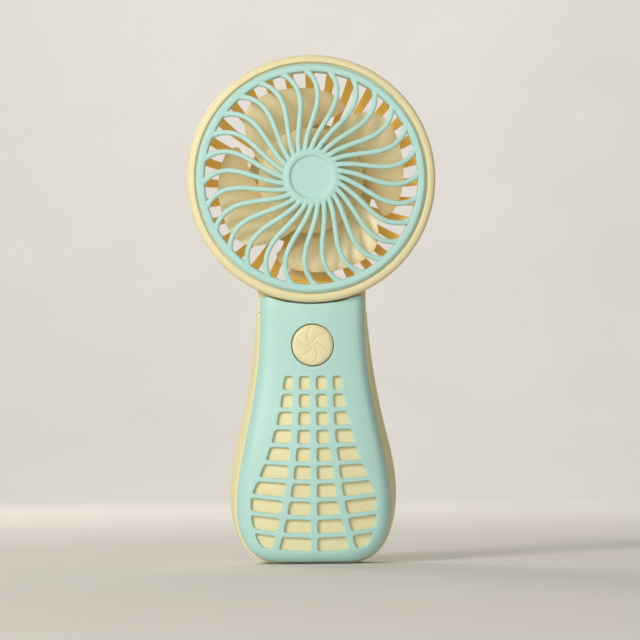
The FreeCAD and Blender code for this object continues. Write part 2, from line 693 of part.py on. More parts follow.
def row_line(row_place, across):
    """Height of a row's line: it curves up towards the sides, most in the lower rows."""
    smile = 2.0 * (row_place / (dim("window_rows") - 1)) ** 0.9
    return dim("window_top") - dim("window_pitch") * row_place + smile * (across / 22) ** 2


def rounded_polygon(points, radius):
    """A closed wire through the points, each corner an arc."""
    edges, ends = [], []
    for before, corner, after in zip(points[-1:] + points[:-1], points, points[1:] + points[:1]):
        back = (before - corner).normalize()
        ahead = (after - corner).normalize()
        half = back.getAngle(ahead) / 2
        reach = radius / math.tan(half)
        centre = corner + (back + ahead).normalize() * (radius / math.sin(half))
        near = centre + (corner - centre).normalize() * radius
        ends.append((corner + back * reach, near, corner + ahead * reach))
    for index, (first, near, last) in enumerate(ends):
        edges.append(Part.Arc(first, near, last).toShape())
        edges.append(Part.makeLine(last, ends[(index + 1) % len(ends)][0]))
    return Part.Wire(edges)


def shoulder_limit(height):
    """How far out a window may reach at a height: the cover's outline less its shoulder."""
    curve = smooth(cover_points(0), Vector(1, 0, 0), Vector(0, 1, 0))
    level = curve.intersect(smooth([Vector(0, height, 0), Vector(20, height, 0), Vector(40, height, 0)]))
    return level[0].X - dim("shoulder_width")


def windows():
    """All the windows of the cover as one set of cutters."""
    cutters = []
    rib = dim("window_rib")
    tall = dim("window_height") / dim("window_pitch")
    for row in range(int(dim("window_rows"))):
        low = row + tall
        top_edges, low_edges = window_edges(row), window_edges(low)
        top_outer = min(top_edges[2], shoulder_limit(row_line(row, 20)))
        low_outer = min(low_edges[2], shoulder_limit(row_line(low, 20)))
        columns = [(rib / 2, top_edges[0], rib / 2, low_edges[0]),
                   (top_edges[1], top_outer, low_edges[1], low_outer)]
        for top_in, top_out, low_in, low_out in columns:
            for side in (-1, 1):
                corners = [(top_in, row), (top_out, row), (low_out, low), (low_in, low)]
                points = [Vector(side * across, -20, row_line(place, across)) for across, place in corners]
                wire = rounded_polygon(points, dim("window_round"))
                cutters.append(Part.Face(wire).extrude(Vector(0, 15, 0)))
    return shaped("window_cutters", Part.Compound(cutters))


# ---------------------------------------------------------------- handle: shells and cover

SCREW_PLACES = [("shell_screw_x", "84"), ("shell_screw_x", "62"), ("low_screw_x", "20")]


def at_screws(name, radius, front, back):
    """One bar along Y at each shell screw."""
    items = []
    for index, (across, height) in enumerate(SCREW_PLACES):
        for side in (-1, 1):
            label = f"{name}_{index + 1}_{'left' if side < 0 else 'right'}"
            items.append(rod(label, radius, front, back, f"{side} * {across}", height))
    return items


def tongue_block(name, gap):
    """The neck's front tongue, which stiffens the joint between rim and neck, or the space round it."""
    side = f"{COVER_HALF_WIDTHS[-1] + gap} - cover_wall - nest_gap - liner_wall - 0.6"
    return block(name, (f"0 - ( {side} )", f"rim_back - 1.2 - {gap}", f"shell_top + 0.3 - {gap}"),
                 (side, f"-4 + {gap}", "102"))


def handle_shells():
    cover, gap, liner = dim("cover_wall"), dim("nest_gap"), dim("liner_wall")
    outer = shaped("cover_outer", front_form(0, 0))
    lowered = shaped("cover_lowered", front_form(0, dim("step_depth")))
    above = block("above_step", ("-25", "-25", "step_height"), ("25", "0", "110"))
    upper = common("cover_above_step", lowered, above)
    lower = cut("cover_below_step", outer, above)
    whole = joined("cover_whole", lower, upper)
    space = cut("cover_space", shaped("cover_inner", front_form(cover, cover, dim("parting") + 1)),
                rim_arc("cover_top_wall", "rim_clearance + cover_wall"))
    hole = rod("cover_button_hole", "button_hole_radius", "-25", "-6", "0", "button_height")
    keep(cut("cover_cut", whole, windows(), space, rim_arc("cover_rim_arc", "rim_clearance"), hole,
             tongue_block("cover_tongue_space", 0.3)), "front_cover")

    nest = cover + gap
    outside = cut("liner_trimmed", shaped("liner_outer", front_form(nest, nest, dim("parting") + 1.5)),
                  rim_arc("liner_rim_arc", "rim_clearance + cover_wall + nest_gap"))
    inside = shaped("liner_inner", front_form(nest + liner, nest + liner, dim("parting") + 2.5))
    inside_low = cut("liner_space", inside, rim_arc("liner_top_wall", "rim_clearance + cover_wall + 1.4"))
    neck_space = block("liner_neck_space", ("-25", "parting - 0.2", "spigot_bottom - 0.3"), ("25", "0", "110"))
    shell = cut("liner_shell", outside, inside_low, neck_space, tongue_block("liner_tongue_space", 0.3))
    posts = common("liner_posts", shaped("liner_fill", front_form(nest + 0.5, nest + 0.5, 0)),
                   grouped("liner_post_bars", *at_screws("liner_post", "2.7", "-16", "-0.05")))
    pilots = at_screws("liner_pilot", "0.9", "-9.6", "1")
    button_hole = rod("liner_button_hole", "button_flange_radius + 0.3", "-25", "-7", "0", "button_height")
    keep(cut("liner_cut", joined("liner_with_posts", shell, posts), button_hole, pilots), "inner_shell")

    top = dim("shell_top")
    wall = dim("shell_wall")
    rear = shaped("rear_outer", rear_form(0, top, dim("ledge")))
    rear_space = shaped("rear_inner", rear_form(wall, top + 3, -nest + 0.15))
    rear_shell = cut("rear_hollow", rear, rear_space)
    rear_fill = shaped("rear_fill", rear_form(wall / 2, top, -0.6))
    rear_posts = common("rear_posts", rear_fill,
                        grouped("rear_post_bars", *at_screws("rear_post", "3.2", "0.05", "20")))
    wells = at_screws("screw_well", "2.2", "screw_seat", "25")
    clear = at_screws("screw_clear", "1.1", "-5", "screw_seat + 1")
    half_wide, half_high = "socket_half_width + 0.25", "socket_half_height + 0.25"
    mouth = block("socket_mouth", (f"0 - ( {half_wide} )", "8", f"socket_height - ( {half_high} )"),
                  (half_wide, "20", f"socket_height + ( {half_high} )"))
    lamp = rod("lamp_hole", "lamp_radius + 0.05", "8", "20", "lamp_offset", "socket_height")
    keep(cut("rear_cut", joined("rear_with_posts", rear_shell, rear_posts), [mouth, lamp], wells, clear),
         "rear_shell")

    screws = []
    for index, (shank, head) in enumerate(zip(
            at_screws("shell_shank", "0.88", "-8.6", "screw_seat"),
            at_screws("shell_head", "1.9", "screw_seat", "screw_seat + 1.4"))):
        screws.append(joined(f"shell_screw_{index + 1}", shank, head))
    keep(grouped("shell_screw_set", *screws), "shell_screws")


def head_housing():
    """The rim, the cage, the strut and the neck are one moulding, slotted and hollowed."""
    neck = shaped("neck_upper", neck_form(dim("neck_half_width"), 0.6, dim("shell_top") + 0.3, 106))
    bowl_clear = rod("neck_arc", "slot_outer_radius + 0.8", "-30", "30")
    neck_cut = cut("neck_trimmed", neck, bowl_clear)
    tongue = cut("neck_tongue", tongue_block("tongue_form", 0),
                 rod("tongue_arc", "cage_front_radius + 0.6", "-30", "30"))
    spigot = shaped("neck_spigot", neck_form(
        dim("spigot_half_width"), dim("shell_wall") + 0.2, dim("spigot_bottom"), dim("shell_top") + 2))
    strut = block("strut_block", ("0 - strut_half_width", "2", "98"),
                  ("strut_half_width", "cage_floor + cage_wall + 0.7", "head_height - slot_inner_radius + 4"))
    boss = turned("cap_ring", [
        ("cap_radius + 0.1", "cage_floor + 1.2"), ("cap_radius + 2.1", "cage_floor + 1.2"),
        ("cap_radius + 2.1", "cage_floor + cage_wall + 1.6"),
        ("cap_radius + 0.1", "cage_floor + cage_wall + 1.6")])
    whole = joined("housing_whole", cage_shell(), neck_cut, tongue, spigot, strut, boss)
    channel = block("wire_channel", ("-4.5", "-2", "spigot_bottom - 1"), ("4.5", "7.4", "101"))
    mouth = block("wire_mouth", ("-3", "-9", "spigot_bottom - 1"), ("3", "-1", "shell_top"))
    bend = block("duct_bend", ("-3", "5.4", "97"), ("3", "8", "103.8"))
    duct = block("strut_duct", ("-3", "7.0", "97"), ("3", "cage_floor + 1.4", "head_height - base_radius + 1"))
    posts = [block("spigot_clear_left", ("0 - shell_screw_x - 4.5", "-6", "spigot_bottom - 1"),
                   ("3.7 - shell_screw_x", "13", "88")),
             block("spigot_clear_right", ("shell_screw_x - 3.7", "-6", "spigot_bottom - 1"),
                   ("shell_screw_x + 4.5", "13", "88"))]
    holes = at_motor_screws("screw_hole", "0.95", "cage_floor - 1", "16")
    bores = at_motor_screws("screw_bore", "1.7", "cage_floor + 1.0", "16")
    return cut("housing_cut", whole, bowl_hollow(), channel, mouth, bend, duct, posts, holes, bores)


# ---------------------------------------------------------------- handle: inside

def rounded_path(points):
    """Straight runs joined by tangent arcs, each as large as its two runs allow."""
    edges, start = [], points[0]
    for before, corner, after in zip(points, points[1:], points[2:]):
        back, ahead = before - corner, after - corner
        turn = math.pi - back.getAngle(ahead)
        reach = 0.45 * min(back.Length, ahead.Length)
        radius = reach / math.tan(turn / 2)
        back.normalize()
        ahead.normalize()
        first, last = corner + back * reach, corner + ahead * reach
        inward = (back + ahead).normalize()
        near = corner + inward * (radius / math.cos(turn / 2) - radius)
        edges.append(Part.makeLine(start, first))
        edges.append(Part.Arc(first, near, last).toShape())
        start = last
    edges.append(Part.makeLine(start, points[-1]))
    return Part.Wire(edges)


def wire_tube(points):
    """A round wire along a path."""
    path = rounded_path(points)
    ahead = points[1] - points[0]
    ring = Part.Wire(Part.makeCircle(dim("wire_radius"), points[0], ahead))
    return path.makePipeShell([ring], True, False)


def motor_wires():
    """Three wires from the motor's board, through the strut and the neck, to the control board."""
    high = dim("head_height")
    tubes = []
    for shift in (-1.3, 0.0, 1.3):
        tubes.append(wire_tube([
            Vector(shift, 1.7, high - 8.0), Vector(shift, 4.6, high - 9.5), Vector(shift, 5.2, high - 17.5),
            Vector(shift, 9.3, high - 24.0), Vector(shift, 9.3, high - 33.0),
            Vector(shift, 6.0, high - 41.0), Vector(shift, 1.0, high - 48.0),
            Vector(shift, -4.4, high - 52.6)]))
    return shaped("motor_wire_set", Part.Compound(tubes))


def battery_leads():
    """Two wires from the cell's upper end to the control board."""
    top = dim("cell_bottom") + dim("cell_length")
    tubes = []
    for side in (-1, 1):
        tubes.append(wire_tube([
            Vector(side * 5.0, -1.2, top + 0.85), Vector(side * 5.2, -3.0, top + 1.2),
            Vector(side * 5.4, -4.4, top + 3.2), Vector(side * 5.4, -4.6, top + 6.4)]))
    return shaped("battery_lead_set", Part.Compound(tubes))


def power_button():
    """A low domed disc with a flange that the cover traps."""
    front = "button_front"
    return turned("button_form", [
        ("0", front), ("button_radius - 1.6", front + " + 0.12"), ("button_radius - 0.3", front + " + 0.45"),
        ("button_radius", front + " + 0.85"), ("button_radius", front + " + 2.85"),
        ("button_flange_radius", front + " + 2.85"), ("button_flange_radius", front + " + 3.3"),
        ("switch_side * 0.8", front + " + 3.3"), ("switch_side * 0.8", "plunger_front - 0.03"),
        ("0", "plunger_front - 0.03")],
        "button_height")


def charging_socket():
    """A flat, round-ended metal shell, open at the back of the handle."""
    half, high = dim("socket_half_width"), dim("socket_half_height")

    def stadium(name, grow, front, back):
        body = bind(doc.addObject("PartDesign::Body", name), z="socket_height")
        sketch = sketch_on(body, "XZ_Plane", name + "_outline")
        radius = high + grow
        reach = half - high
        corners = [Vector(-reach, radius, 0), Vector(reach, radius, 0), Vector(reach + radius, 0, 0),
                   Vector(reach, -radius, 0), Vector(-reach, -radius, 0), Vector(-reach - radius, 0, 0)]
        sketch.addGeometry(Part.LineSegment(corners[0], corners[1]), False)
        sketch.addGeometry(Part.Arc(corners[1], corners[2], corners[3]), False)
        sketch.addGeometry(Part.LineSegment(corners[3], corners[4]), False)
        sketch.addGeometry(Part.Arc(corners[4], corners[5], corners[0]), False)
        sketch.AttachmentOffset = Placement(Vector(0, 0, -number(back)), Rotation())
        pad = body.newObject("PartDesign::Pad", name + "_pad")
        pad.Profile = sketch
        pad.setExpression("Length", bound(f"( {back} ) - ( {front} )"))
        return body

    return cut("socket_hollow", stadium("socket_outer", 0, "socket_front - socket_length", "socket_front"),
               stadium("socket_inner", -0.3, "socket_front - socket_length + 0.8", "socket_front + 1"))


def handle_inside():
    keep(power_button(), "power_button")
    half = "switch_side / 2"
    housing = block("switch_block", (f"0 - {half}", "board_front - switch_depth", f"button_height - {half}"),
                    (half, "board_front", f"button_height + {half}"))
    well = rod("switch_well", "plunger_radius + 0.08", "board_front - switch_depth - 1",
               "board_front - 1.2", "0", "button_height")
    keep(cut("switch_cut", housing, well), "switch_housing")
    keep(rod("plunger", "plunger_radius", "plunger_front", "board_front - 1.2 - button_travel - 0.1", "0",
             "button_height"), "switch_plunger")
    keep(block("control_board_block", ("0 - board_half_width", "board_front", "board_bottom"),
               ("board_half_width", "board_front + board_thickness", "board_top")), "control_board")
    chips = [block(f"chip_{index + 1}", (f"{x}", "board_front - 1.0", f"{z}"),
                   (f"{x + wide}", "board_front", f"{z + tall}"))
             for index, (x, z, wide, tall) in enumerate([
                 (-9.2, 84.6, 4.9, 3.9), (5.0, 84.6, 3.4, 3.4), (-9.0, 74.0, 3.2, 1.6), (6.0, 74.0, 2.0, 1.2),
                 (6.0, 76.6, 2.0, 1.2)])]
    keep(grouped("chip_set", *chips), "board_components")

    cell = doc.addObject("Part::Cylinder", "cell")
    keep(bind(cell, Radius="cell_radius", Height="cell_length", x="0", y="cell_depth", z="cell_bottom"),
         "battery_cell")
    top = "cell_bottom + cell_length"
    tabs = [block("upper_tab", ("-6", "cell_depth - 4.4", top), ("6", "cell_depth + 2.5", top + " + 0.3")),
            block("lower_tab", ("-4", "cell_depth - 2", "cell_bottom - 0.3"),
                  ("4", "cell_depth + 2", "cell_bottom"))]
    keep(grouped("tab_set", *tabs), "battery_tabs")
    keep(battery_leads(), "battery_leads")
    keep(block("pad", ("-5.5", "-11.2", "20"), ("5.5", "cell_depth - cell_radius - 0.05", "54")),
         "battery_pad")

    keep(charging_socket(), "charging_socket")
    keep(block("tongue", ("-3.3", "socket_front - socket_length + 0.8", "socket_height - 0.35"),
               ("3.3", "socket_front - 1.0", "socket_height + 0.35")), "socket_tongue")
    keep(block("charge_board_block", ("-9.6", "-2.6", "socket_height - socket_half_height - board_thickness"),
               ("9.6", "socket_front - 2.6", "socket_height - socket_half_height")), "charge_board")
    keep(rod("pipe", "lamp_radius", "7.4", "socket_front - 0.5", "lamp_offset", "socket_height"), "light_pipe")
    keep(block("lamp", ("lamp_offset - 0.8", "6.2", "socket_height - socket_half_height"),
               ("lamp_offset + 0.8", "7.3", "socket_height + 0.6")), "indicator_lamp")


# ---------------------------------------------------------------- assembly

keep(head_housing(), "head_housing")
keep(grille(), "front_grille")
keep(impeller(), "impeller")
motor()
keep(turned("cap", [
    ("0", "cage_floor + cage_wall"), ("cap_radius", "cage_floor + cage_wall"),
    ("cap_radius", "cage_floor + cage_wall + 1.5"), ("cap_radius - 0.9", "cage_floor + cage_wall + 2.1"),
    ("0", "cage_floor + cage_wall + 2.3")]), "rear_cap")
keep(motor_wires(), "motor_wires")
handle_shells()
handle_inside()
doc.recompute()

broken = [item.Label for item in doc.Objects if {"Invalid", "Error"} & set(item.State)]
if broken:
    raise RuntimeError(f"features that failed: {broken}")
for node, item in subparts.items():
    if item.Shape.isNull() or not item.Shape.isValid():
        raise RuntimeError(f"{node} has no valid shape")

os.makedirs("parts", exist_ok=True)
for node, item in subparts.items():
    item.Shape.exportStep(f"parts/{node}.step")
    box = item.Shape.BoundBox
    print(f"{node}: {len(item.Shape.Solids)} solids, {item.Shape.Volume:.0f} mm3, "
          f"y {box.YMin:.1f} {box.YMax:.1f}, z {box.ZMin:.1f} {box.ZMax:.1f}")
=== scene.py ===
"""Looks of a handheld electric fan: a caged head on a flat, bellied handle.

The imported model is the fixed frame.  Shapes are written in millimetres and scaled to metres when their
mesh is made.  The head's axis lies along Y, the front faces -Y and the fan stands on Z = 0.
"""

import math

import bmesh
import bpy
import numpy as np
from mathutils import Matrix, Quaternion, Vector


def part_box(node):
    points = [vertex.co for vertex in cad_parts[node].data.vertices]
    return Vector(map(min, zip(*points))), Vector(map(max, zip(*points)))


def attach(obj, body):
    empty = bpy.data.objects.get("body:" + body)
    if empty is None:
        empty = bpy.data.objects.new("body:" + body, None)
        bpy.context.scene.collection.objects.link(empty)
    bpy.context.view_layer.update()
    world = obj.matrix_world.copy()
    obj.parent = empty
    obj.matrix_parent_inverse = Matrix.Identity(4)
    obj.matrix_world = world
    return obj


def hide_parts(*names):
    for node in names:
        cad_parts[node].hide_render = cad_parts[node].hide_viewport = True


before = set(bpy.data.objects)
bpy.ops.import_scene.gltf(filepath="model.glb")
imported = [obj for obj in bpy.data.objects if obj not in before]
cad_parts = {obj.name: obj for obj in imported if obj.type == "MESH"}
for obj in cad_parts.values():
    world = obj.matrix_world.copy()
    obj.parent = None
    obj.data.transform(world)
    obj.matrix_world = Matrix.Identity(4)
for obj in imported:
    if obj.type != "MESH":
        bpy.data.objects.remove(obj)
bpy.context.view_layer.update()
GRILLE_LOW, GRILLE_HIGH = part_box("front_grille")
BUTTON_LOW, BUTTON_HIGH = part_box("power_button")

bl_info = {
    "name": "Handheld fan looks",
    "version": (1, 0, 0),
    "blender": (4, 5, 0),
    "location": "3D View > Sidebar > Fan",
    "description": "Builds the visible pieces and finishes of a handheld fan round its frame",
    "category": "Object",
}

MM = 0.001
AXIS = (GRILLE_LOW.z + GRILLE_HIGH.z) / 2 / MM
BUTTON_HEIGHT = (BUTTON_LOW.z + BUTTON_HIGH.z) / 2 / MM


# ---------------------------------------------------------------- settings

def colour_property(name, description, default):
    return bpy.props.FloatVectorProperty(name=name, description=description, subtype="COLOR", size=3,
                                         min=0.0, max=1.0, default=default)


def length_property(name, description, default, low, high):
    return bpy.props.FloatProperty(name=name, description=description, unit="LENGTH", default=default,
                                   min=low, max=high)


class FanSettings(bpy.types.PropertyGroup):
    """Sizes and colours that a user would change."""

    mint: colour_property("Mint", "Colour of the grille and the front cover", (0.475, 0.755, 0.70))
    cream: colour_property("Cream", "Colour of the head, the shells and the button", (0.85, 0.775, 0.47))
    # A deeper ochre painted on the cage's inner faces: painted shade and bounced light, not the plastic's own
    # colour.
    inside: colour_property("Inside", "Deeper tone of the cage's inner faces, where the plastic glows",
                            (0.96, 0.64, 0.15))
    blade: colour_property("Blade", "Colour of the impeller", (0.86, 0.72, 0.44))
    edge_round: length_property("Edge rounding", "Rounding of the cage bars' small edges",
                                0.0003, 0.00005, 0.001)
    spoke_round: length_property("Spoke rounding", "Rounding of the grille's spokes", 0.0007, 0.0001, 0.0009)
    cover_wall: length_property("Cover wall", "Thickness of the front cover", 0.0014, 0.0005, 0.003)
    groove_depth: length_property("Groove depth", "Depth of the spiral grooves in the button",
                                  0.00022, 0.0, 0.0006)
    camera_distance: length_property("Camera distance", "Distance from the camera to the fan", 0.95, 0.3, 3.0)
    camera_height: length_property("Camera height", "Height of the camera above the floor", 0.037, -0.5, 1.0)
    key_power: bpy.props.FloatProperty(
        name="Key light", description="Power of the key light", unit="POWER", default=12.0, min=0.0)


def settings():
    return bpy.context.scene.fan_settings


def in_mm(length):
    return length / MM


# ---------------------------------------------------------------- curves

def spline(points, count, start=None, end=None):
    """A cubic spline through the points, by chord length.

    Its second slopes solve the usual three-term system; an end with a given direction is clamped to it, and
    an end with none is left straight.  Returned at `count` even steps of length.
    """
    points = np.asarray(points, float)
    knots = np.concatenate([[0.0], np.cumsum(np.linalg.norm(np.diff(points, axis=0), axis=1))])
    gaps, last = np.diff(knots), len(points) - 1
    slopes = np.diff(points, axis=0) / gaps[:, None]
    system, right = np.zeros((last + 1, last + 1)), np.zeros_like(points)
    inner = np.arange(1, last)
    system[inner, inner - 1] = gaps[:-1]
    system[inner, inner] = 2 * (gaps[:-1] + gaps[1:])
    system[inner, inner + 1] = gaps[1:]
    right[1:-1] = 6 * np.diff(slopes, axis=0)
    system[0, 0] = system[last, last] = 1.0
    if start is not None:
        system[0, :2] = 2 * gaps[0], gaps[0]
        right[0] = 6 * (slopes[0] - np.asarray(start, float))
    if end is not None:
        system[last, -2:] = gaps[-1], 2 * gaps[-1]
        right[last] = 6 * (np.asarray(end, float) - slopes[-1])
    bends = np.linalg.solve(system, right)
    place = np.linspace(0, knots[-1], count)
    run = np.clip(np.searchsorted(knots, place, side="right") - 1, 0, last - 1)
    near, far = (place - knots[run])[:, None], (knots[run + 1] - place)[:, None]
    gap = gaps[run][:, None]
    return (bends[run] * far ** 3 + bends[run + 1] * near ** 3) / (6 * gap) + (
        points[run] / gap - bends[run] * gap / 6) * far + (
        points[run + 1] / gap - bends[run + 1] * gap / 6) * near


def rounded_outline(corners, steps=5):
    """A closed outline whose corners (x, y, reach) are curves.

    Each curve is (1-t)^2 * before + 2t(1-t) * corner + t^2 * after, its ends `reach` from the corner.
    """
    corners = np.asarray(corners, float)
    place, reach = corners[:, :2], corners[:, 2:3]
    back, ahead = np.roll(place, 1, 0) - place, np.roll(place, -1, 0) - place
    before = place + back / np.linalg.norm(back, axis=1, keepdims=True) * reach
    after = place + ahead / np.linalg.norm(ahead, axis=1, keepdims=True) * reach
    t = np.linspace(0, 1, steps)[None, :, None]
    curve = (1 - t) ** 2 * before[:, None] + 2 * t * (1 - t) * place[:, None] + t ** 2 * after[:, None]
    return curve.reshape(-1, 2)


# ---------------------------------------------------------------- surfaces

def turned(profile, count=192, height=None):
    """A profile of (radius, depth) turned about the head's axis: x = r cos a, z = height + r sin a."""
    angle = np.linspace(0, 2 * math.pi, count, endpoint=False)[:, None]
    height = AXIS if height is None else height
    radius, depth = np.asarray(profile, float).T
    return np.stack([radius * np.cos(angle), depth + 0 * angle, height + radius * np.sin(angle)], -1)


def carried(path, across, up, section):
    """A section carried along a path: point = path + across * u + up * v for every (u, v)."""
    section = np.asarray(section, float)
    return path[:, None] + across[:, None] * section[..., 0:1] + up[:, None] * section[..., 1:2]


def with_ends(grid):
    """The grid with both ends drawn together to a point, so that a carried section is closed."""
    first, last = grid[:1].mean(1, keepdims=True), grid[-1:].mean(1, keepdims=True)
    return np.concatenate([np.repeat(first, grid.shape[1], 1), grid, np.repeat(last, grid.shape[1], 1)])


def directions(path):
    """Unit directions along a path, from the differences of its points."""
    along = np.gradient(path, axis=0)
    return along / np.linalg.norm(along, axis=1, keepdims=True)


def polar(radius, degrees, depth):
    """Points round the head's axis; the angle is anticlockwise from the right, seen from the front."""
    angle = np.radians(degrees)
    return np.stack(np.broadcast_arrays(radius * np.cos(angle), depth, AXIS + radius * np.sin(angle)), -1)


def grid_faces(rows, columns, close_rows, close_columns, start):
    """One quad between each pair of neighbouring rows and columns of a grid of points."""
    index = np.arange(rows * columns).reshape(rows, columns) + start
    if close_rows:
        index = np.vstack([index, index[:1]])
    if close_columns:
        index = np.hstack([index, index[:, :1]])
    return np.stack([index[:-1, :-1], index[:-1, 1:], index[1:, 1:], index[1:, :-1]], -1).reshape(-1, 4)


def make_mesh(name, grids, marks=None, sharp=40.0):
    """A mesh from grids (points, rows closed, columns closed), scaled to metres.

    Points that coincide are merged, which closes poles and seams, and the faces are turned outwards.
    `marks` gives each grid's value of the point attribute that carries the painted shade tone.
    """
    points, faces, values, start = [], [], [], 0
    for number, (grid, close_rows, close_columns) in enumerate(grids):
        rows, columns = grid.shape[:2]
        points.append(grid.reshape(-1, 3))
        faces.append(grid_faces(rows, columns, close_rows, close_columns, start))
        mark = 0.0 if marks is None else marks[number]
        values.append(np.broadcast_to(mark, (rows, columns)).reshape(-1))
        start += rows * columns
    mesh = bpy.data.meshes.new(name)
    mesh.from_pydata(np.concatenate(points) * MM, [], np.concatenate(faces))
    if marks is not None:
        attribute = mesh.attributes.new("inside", "FLOAT", "POINT")
        attribute.data.foreach_set("value", np.concatenate(values).astype(np.float32))
    tidy = bmesh.new()
    tidy.from_mesh(mesh)
    bmesh.ops.remove_doubles(tidy, verts=tidy.verts, dist=2e-6)
    bmesh.ops.dissolve_degenerate(tidy, edges=tidy.edges, dist=1e-7)
    bmesh.ops.recalc_face_normals(tidy, faces=tidy.faces)
    tidy.to_mesh(mesh)
    tidy.free()
    mesh.shade_smooth()
    mesh.set_sharp_from_angle(angle=math.radians(sharp))
    return mesh


def place_piece(name, mesh, material, body, replaced=()):
    """The mesh as a piece that rides on a body, takes its finish from a slot and stands for CAD nodes."""
    piece = bpy.data.objects.new(name, mesh)
    bpy.context.scene.collection.objects.link(piece)
    mesh.materials.clear()
    mesh.materials.append(material)
    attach(piece, body)
    if replaced:
        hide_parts(*replaced)
    return piece


# ---------------------------------------------------------------- shared effects

SOCKET_KINDS = {1: "NodeSocketFloat", 3: "NodeSocketVector", 4: "NodeSocketColor"}


def new_group(name, inputs, outputs):
    """An empty shader node group that takes a place and the named inputs.

    A socket's kind follows from its size: 1 for a number, 3 for a vector, 4 for a colour.  Returned are the
    group, the sockets that bring its inputs in and the sockets that take its outputs.
    """
    group = bpy.data.node_groups.new(name, "ShaderNodeTree")
    for label, default in {"Place": (0, 0, 0), **inputs}.items():
        kind = SOCKET_KINDS[np.size(default)]
        group.interface.new_socket(name=label, in_out="INPUT", socket_type=kind).default_value = default
    for label, size in outputs.items():
        group.interface.new_socket(name=label, in_out="OUTPUT", socket_type=SOCKET_KINDS[size])
    return group, group.nodes.new("NodeGroupInput").outputs, group.nodes.new("NodeGroupOutput").inputs


def feed(tree, socket, value):
    """Give a socket a link, a number, a vector or a colour."""
    if hasattr(value, "is_linked"):
        tree.links.new(value, socket)
    else:
        socket.default_value = (*value, 1) if socket.type == "RGBA" else value


def math_node(tree, kind, *values):
    """A Math node fed by sockets or numbers; returns its value."""
    node = tree.nodes.new("ShaderNodeMath")
    node.operation = kind
    for socket, value in zip(node.inputs, values):
        feed(tree, socket, value)
    return node.outputs[0]


def mix_colours(tree, share, first, second):
    """A colour Mix node; the share, and each colour, is a socket or a value."""
    node = tree.nodes.new("ShaderNodeMix")
    node.data_type = "RGBA"
    for number, value in ((0, share), (6, first), (7, second)):
        feed(tree, node.inputs[number], value)
    return node.outputs[2]


def noise(tree, place, scale, detail=2.0, roughness=0.5):
    node = tree.nodes.new("ShaderNodeTexNoise")
    tree.links.new(place, node.inputs["Vector"])
    node.inputs["Scale"].default_value = scale
    node.inputs["Detail"].default_value = detail
    node.inputs["Roughness"].default_value = roughness
    return node.outputs["Fac"]


def spread(tree, value, low, high):
    """The value spread from low..high to 0..1 and held there."""
    node = tree.nodes.new("ShaderNodeMapRange")
    tree.links.new(value, node.inputs["Value"])
    node.inputs["From Min"].default_value = low
    node.inputs["From Max"].default_value = high
    return node.outputs["Result"]


def centred(tree, value):
    """The value less a half, so that a noise sways both ways."""
    return math_node(tree, "SUBTRACT", value, 0.5)


def scaled_colour(tree, colour, factor):
    """A vector node that multiplies a colour by a factor."""
    node = tree.nodes.new("ShaderNodeVectorMath")
    node.operation = "SCALE"
    tree.links.new(colour, node.inputs[0])
    tree.links.new(factor, node.inputs["Scale"])
    return node.outputs[0]


def part_of(tree, vector, axis):
    """One coordinate of a vector."""
    node = tree.nodes.new("ShaderNodeSeparateXYZ")
    tree.links.new(vector, node.inputs[0])
    return node.outputs[axis]


def make_grain_group():
    """Spark-eroded mould grain: fine bumps, a slower waviness from the mould, and a patchy sheen."""
    group, entry, leaving = new_group(
        "moulded_grain", {"Grain size": 0.00025, "Waviness": 0.3, "Roughness": 0.5, "Patchiness": 0.08},
        {"Height": 1, "Roughness": 1})
    place = entry["Place"]
    grain = group.nodes.new("ShaderNodeTexNoise")
    group.links.new(place, grain.inputs["Vector"])
    group.links.new(math_node(group, "DIVIDE", 1.0, entry["Grain size"]), grain.inputs["Scale"])
    grain.inputs["Detail"].default_value = 3.0
    wave = noise(group, place, 90.0, 1.0)
    height = math_node(group, "MULTIPLY_ADD", wave, entry["Waviness"], grain.outputs["Fac"])
    group.links.new(height, leaving["Height"])
    patch = centred(group, noise(group, place, 160.0, 3.0))
    rough = math_node(group, "MULTIPLY_ADD", patch, entry["Patchiness"], entry["Roughness"])
    group.links.new(rough, leaving["Roughness"])


def make_tone_group():
    """Uneven colour: slow clouds of pigment, faint flow lines and rare dark specks in the resin."""
    group, entry, leaving = new_group(
        "resin_tone", {"Colour": (1, 1, 1, 1), "Cloud": 0.06, "Speck": 0.35}, {"Colour": 4, "Speck mask": 1})
    place = entry["Place"]
    cloud = centred(group, noise(group, place, 38.0, 3.0))
    fine = centred(group, noise(group, place, 900.0, 2.0))
    sway = math_node(group, "MULTIPLY_ADD", fine, 0.45, cloud)
    factor = math_node(group, "MULTIPLY_ADD", sway, entry["Cloud"], 1.0)
    cell = group.nodes.new("ShaderNodeTexVoronoi")
    group.links.new(place, cell.inputs["Vector"])
    cell.inputs["Scale"].default_value = 75.0
    near = math_node(group, "LESS_THAN", cell.outputs["Distance"], 0.022)
    speck = math_node(group, "MULTIPLY", near, entry["Speck"])
    swayed = scaled_colour(group, entry["Colour"], factor)
    group.links.new(mix_colours(group, speck, swayed, (0.10, 0.09, 0.07)), leaving["Colour"])
    group.links.new(speck, leaving["Speck mask"])


def make_wear_group():
    """Handling marks: a thin scuffed band just above the base and soft smudges, as a share of 0 to 1."""
    group, entry, leaving = new_group(
        "handling_wear", {"Base band": 0.004, "Smudge": 0.3}, {"Scuff": 1, "Smudge": 1})
    place = entry["Place"]
    nearness = math_node(group, "DIVIDE", part_of(group, place, "Z"), entry["Base band"])
    fade = spread(group, nearness, 1.0, 0.0)
    broken = spread(group, noise(group, place, 700.0, 4.0, 0.7), 0.48, 0.62)
    group.links.new(math_node(group, "MULTIPLY", fade, broken), leaving["Scuff"])
    smear = spread(group, noise(group, place, 55.0, 4.0, 0.6), 0.52, 0.75)
    group.links.new(math_node(group, "MULTIPLY", smear, entry["Smudge"]), leaving["Smudge"])


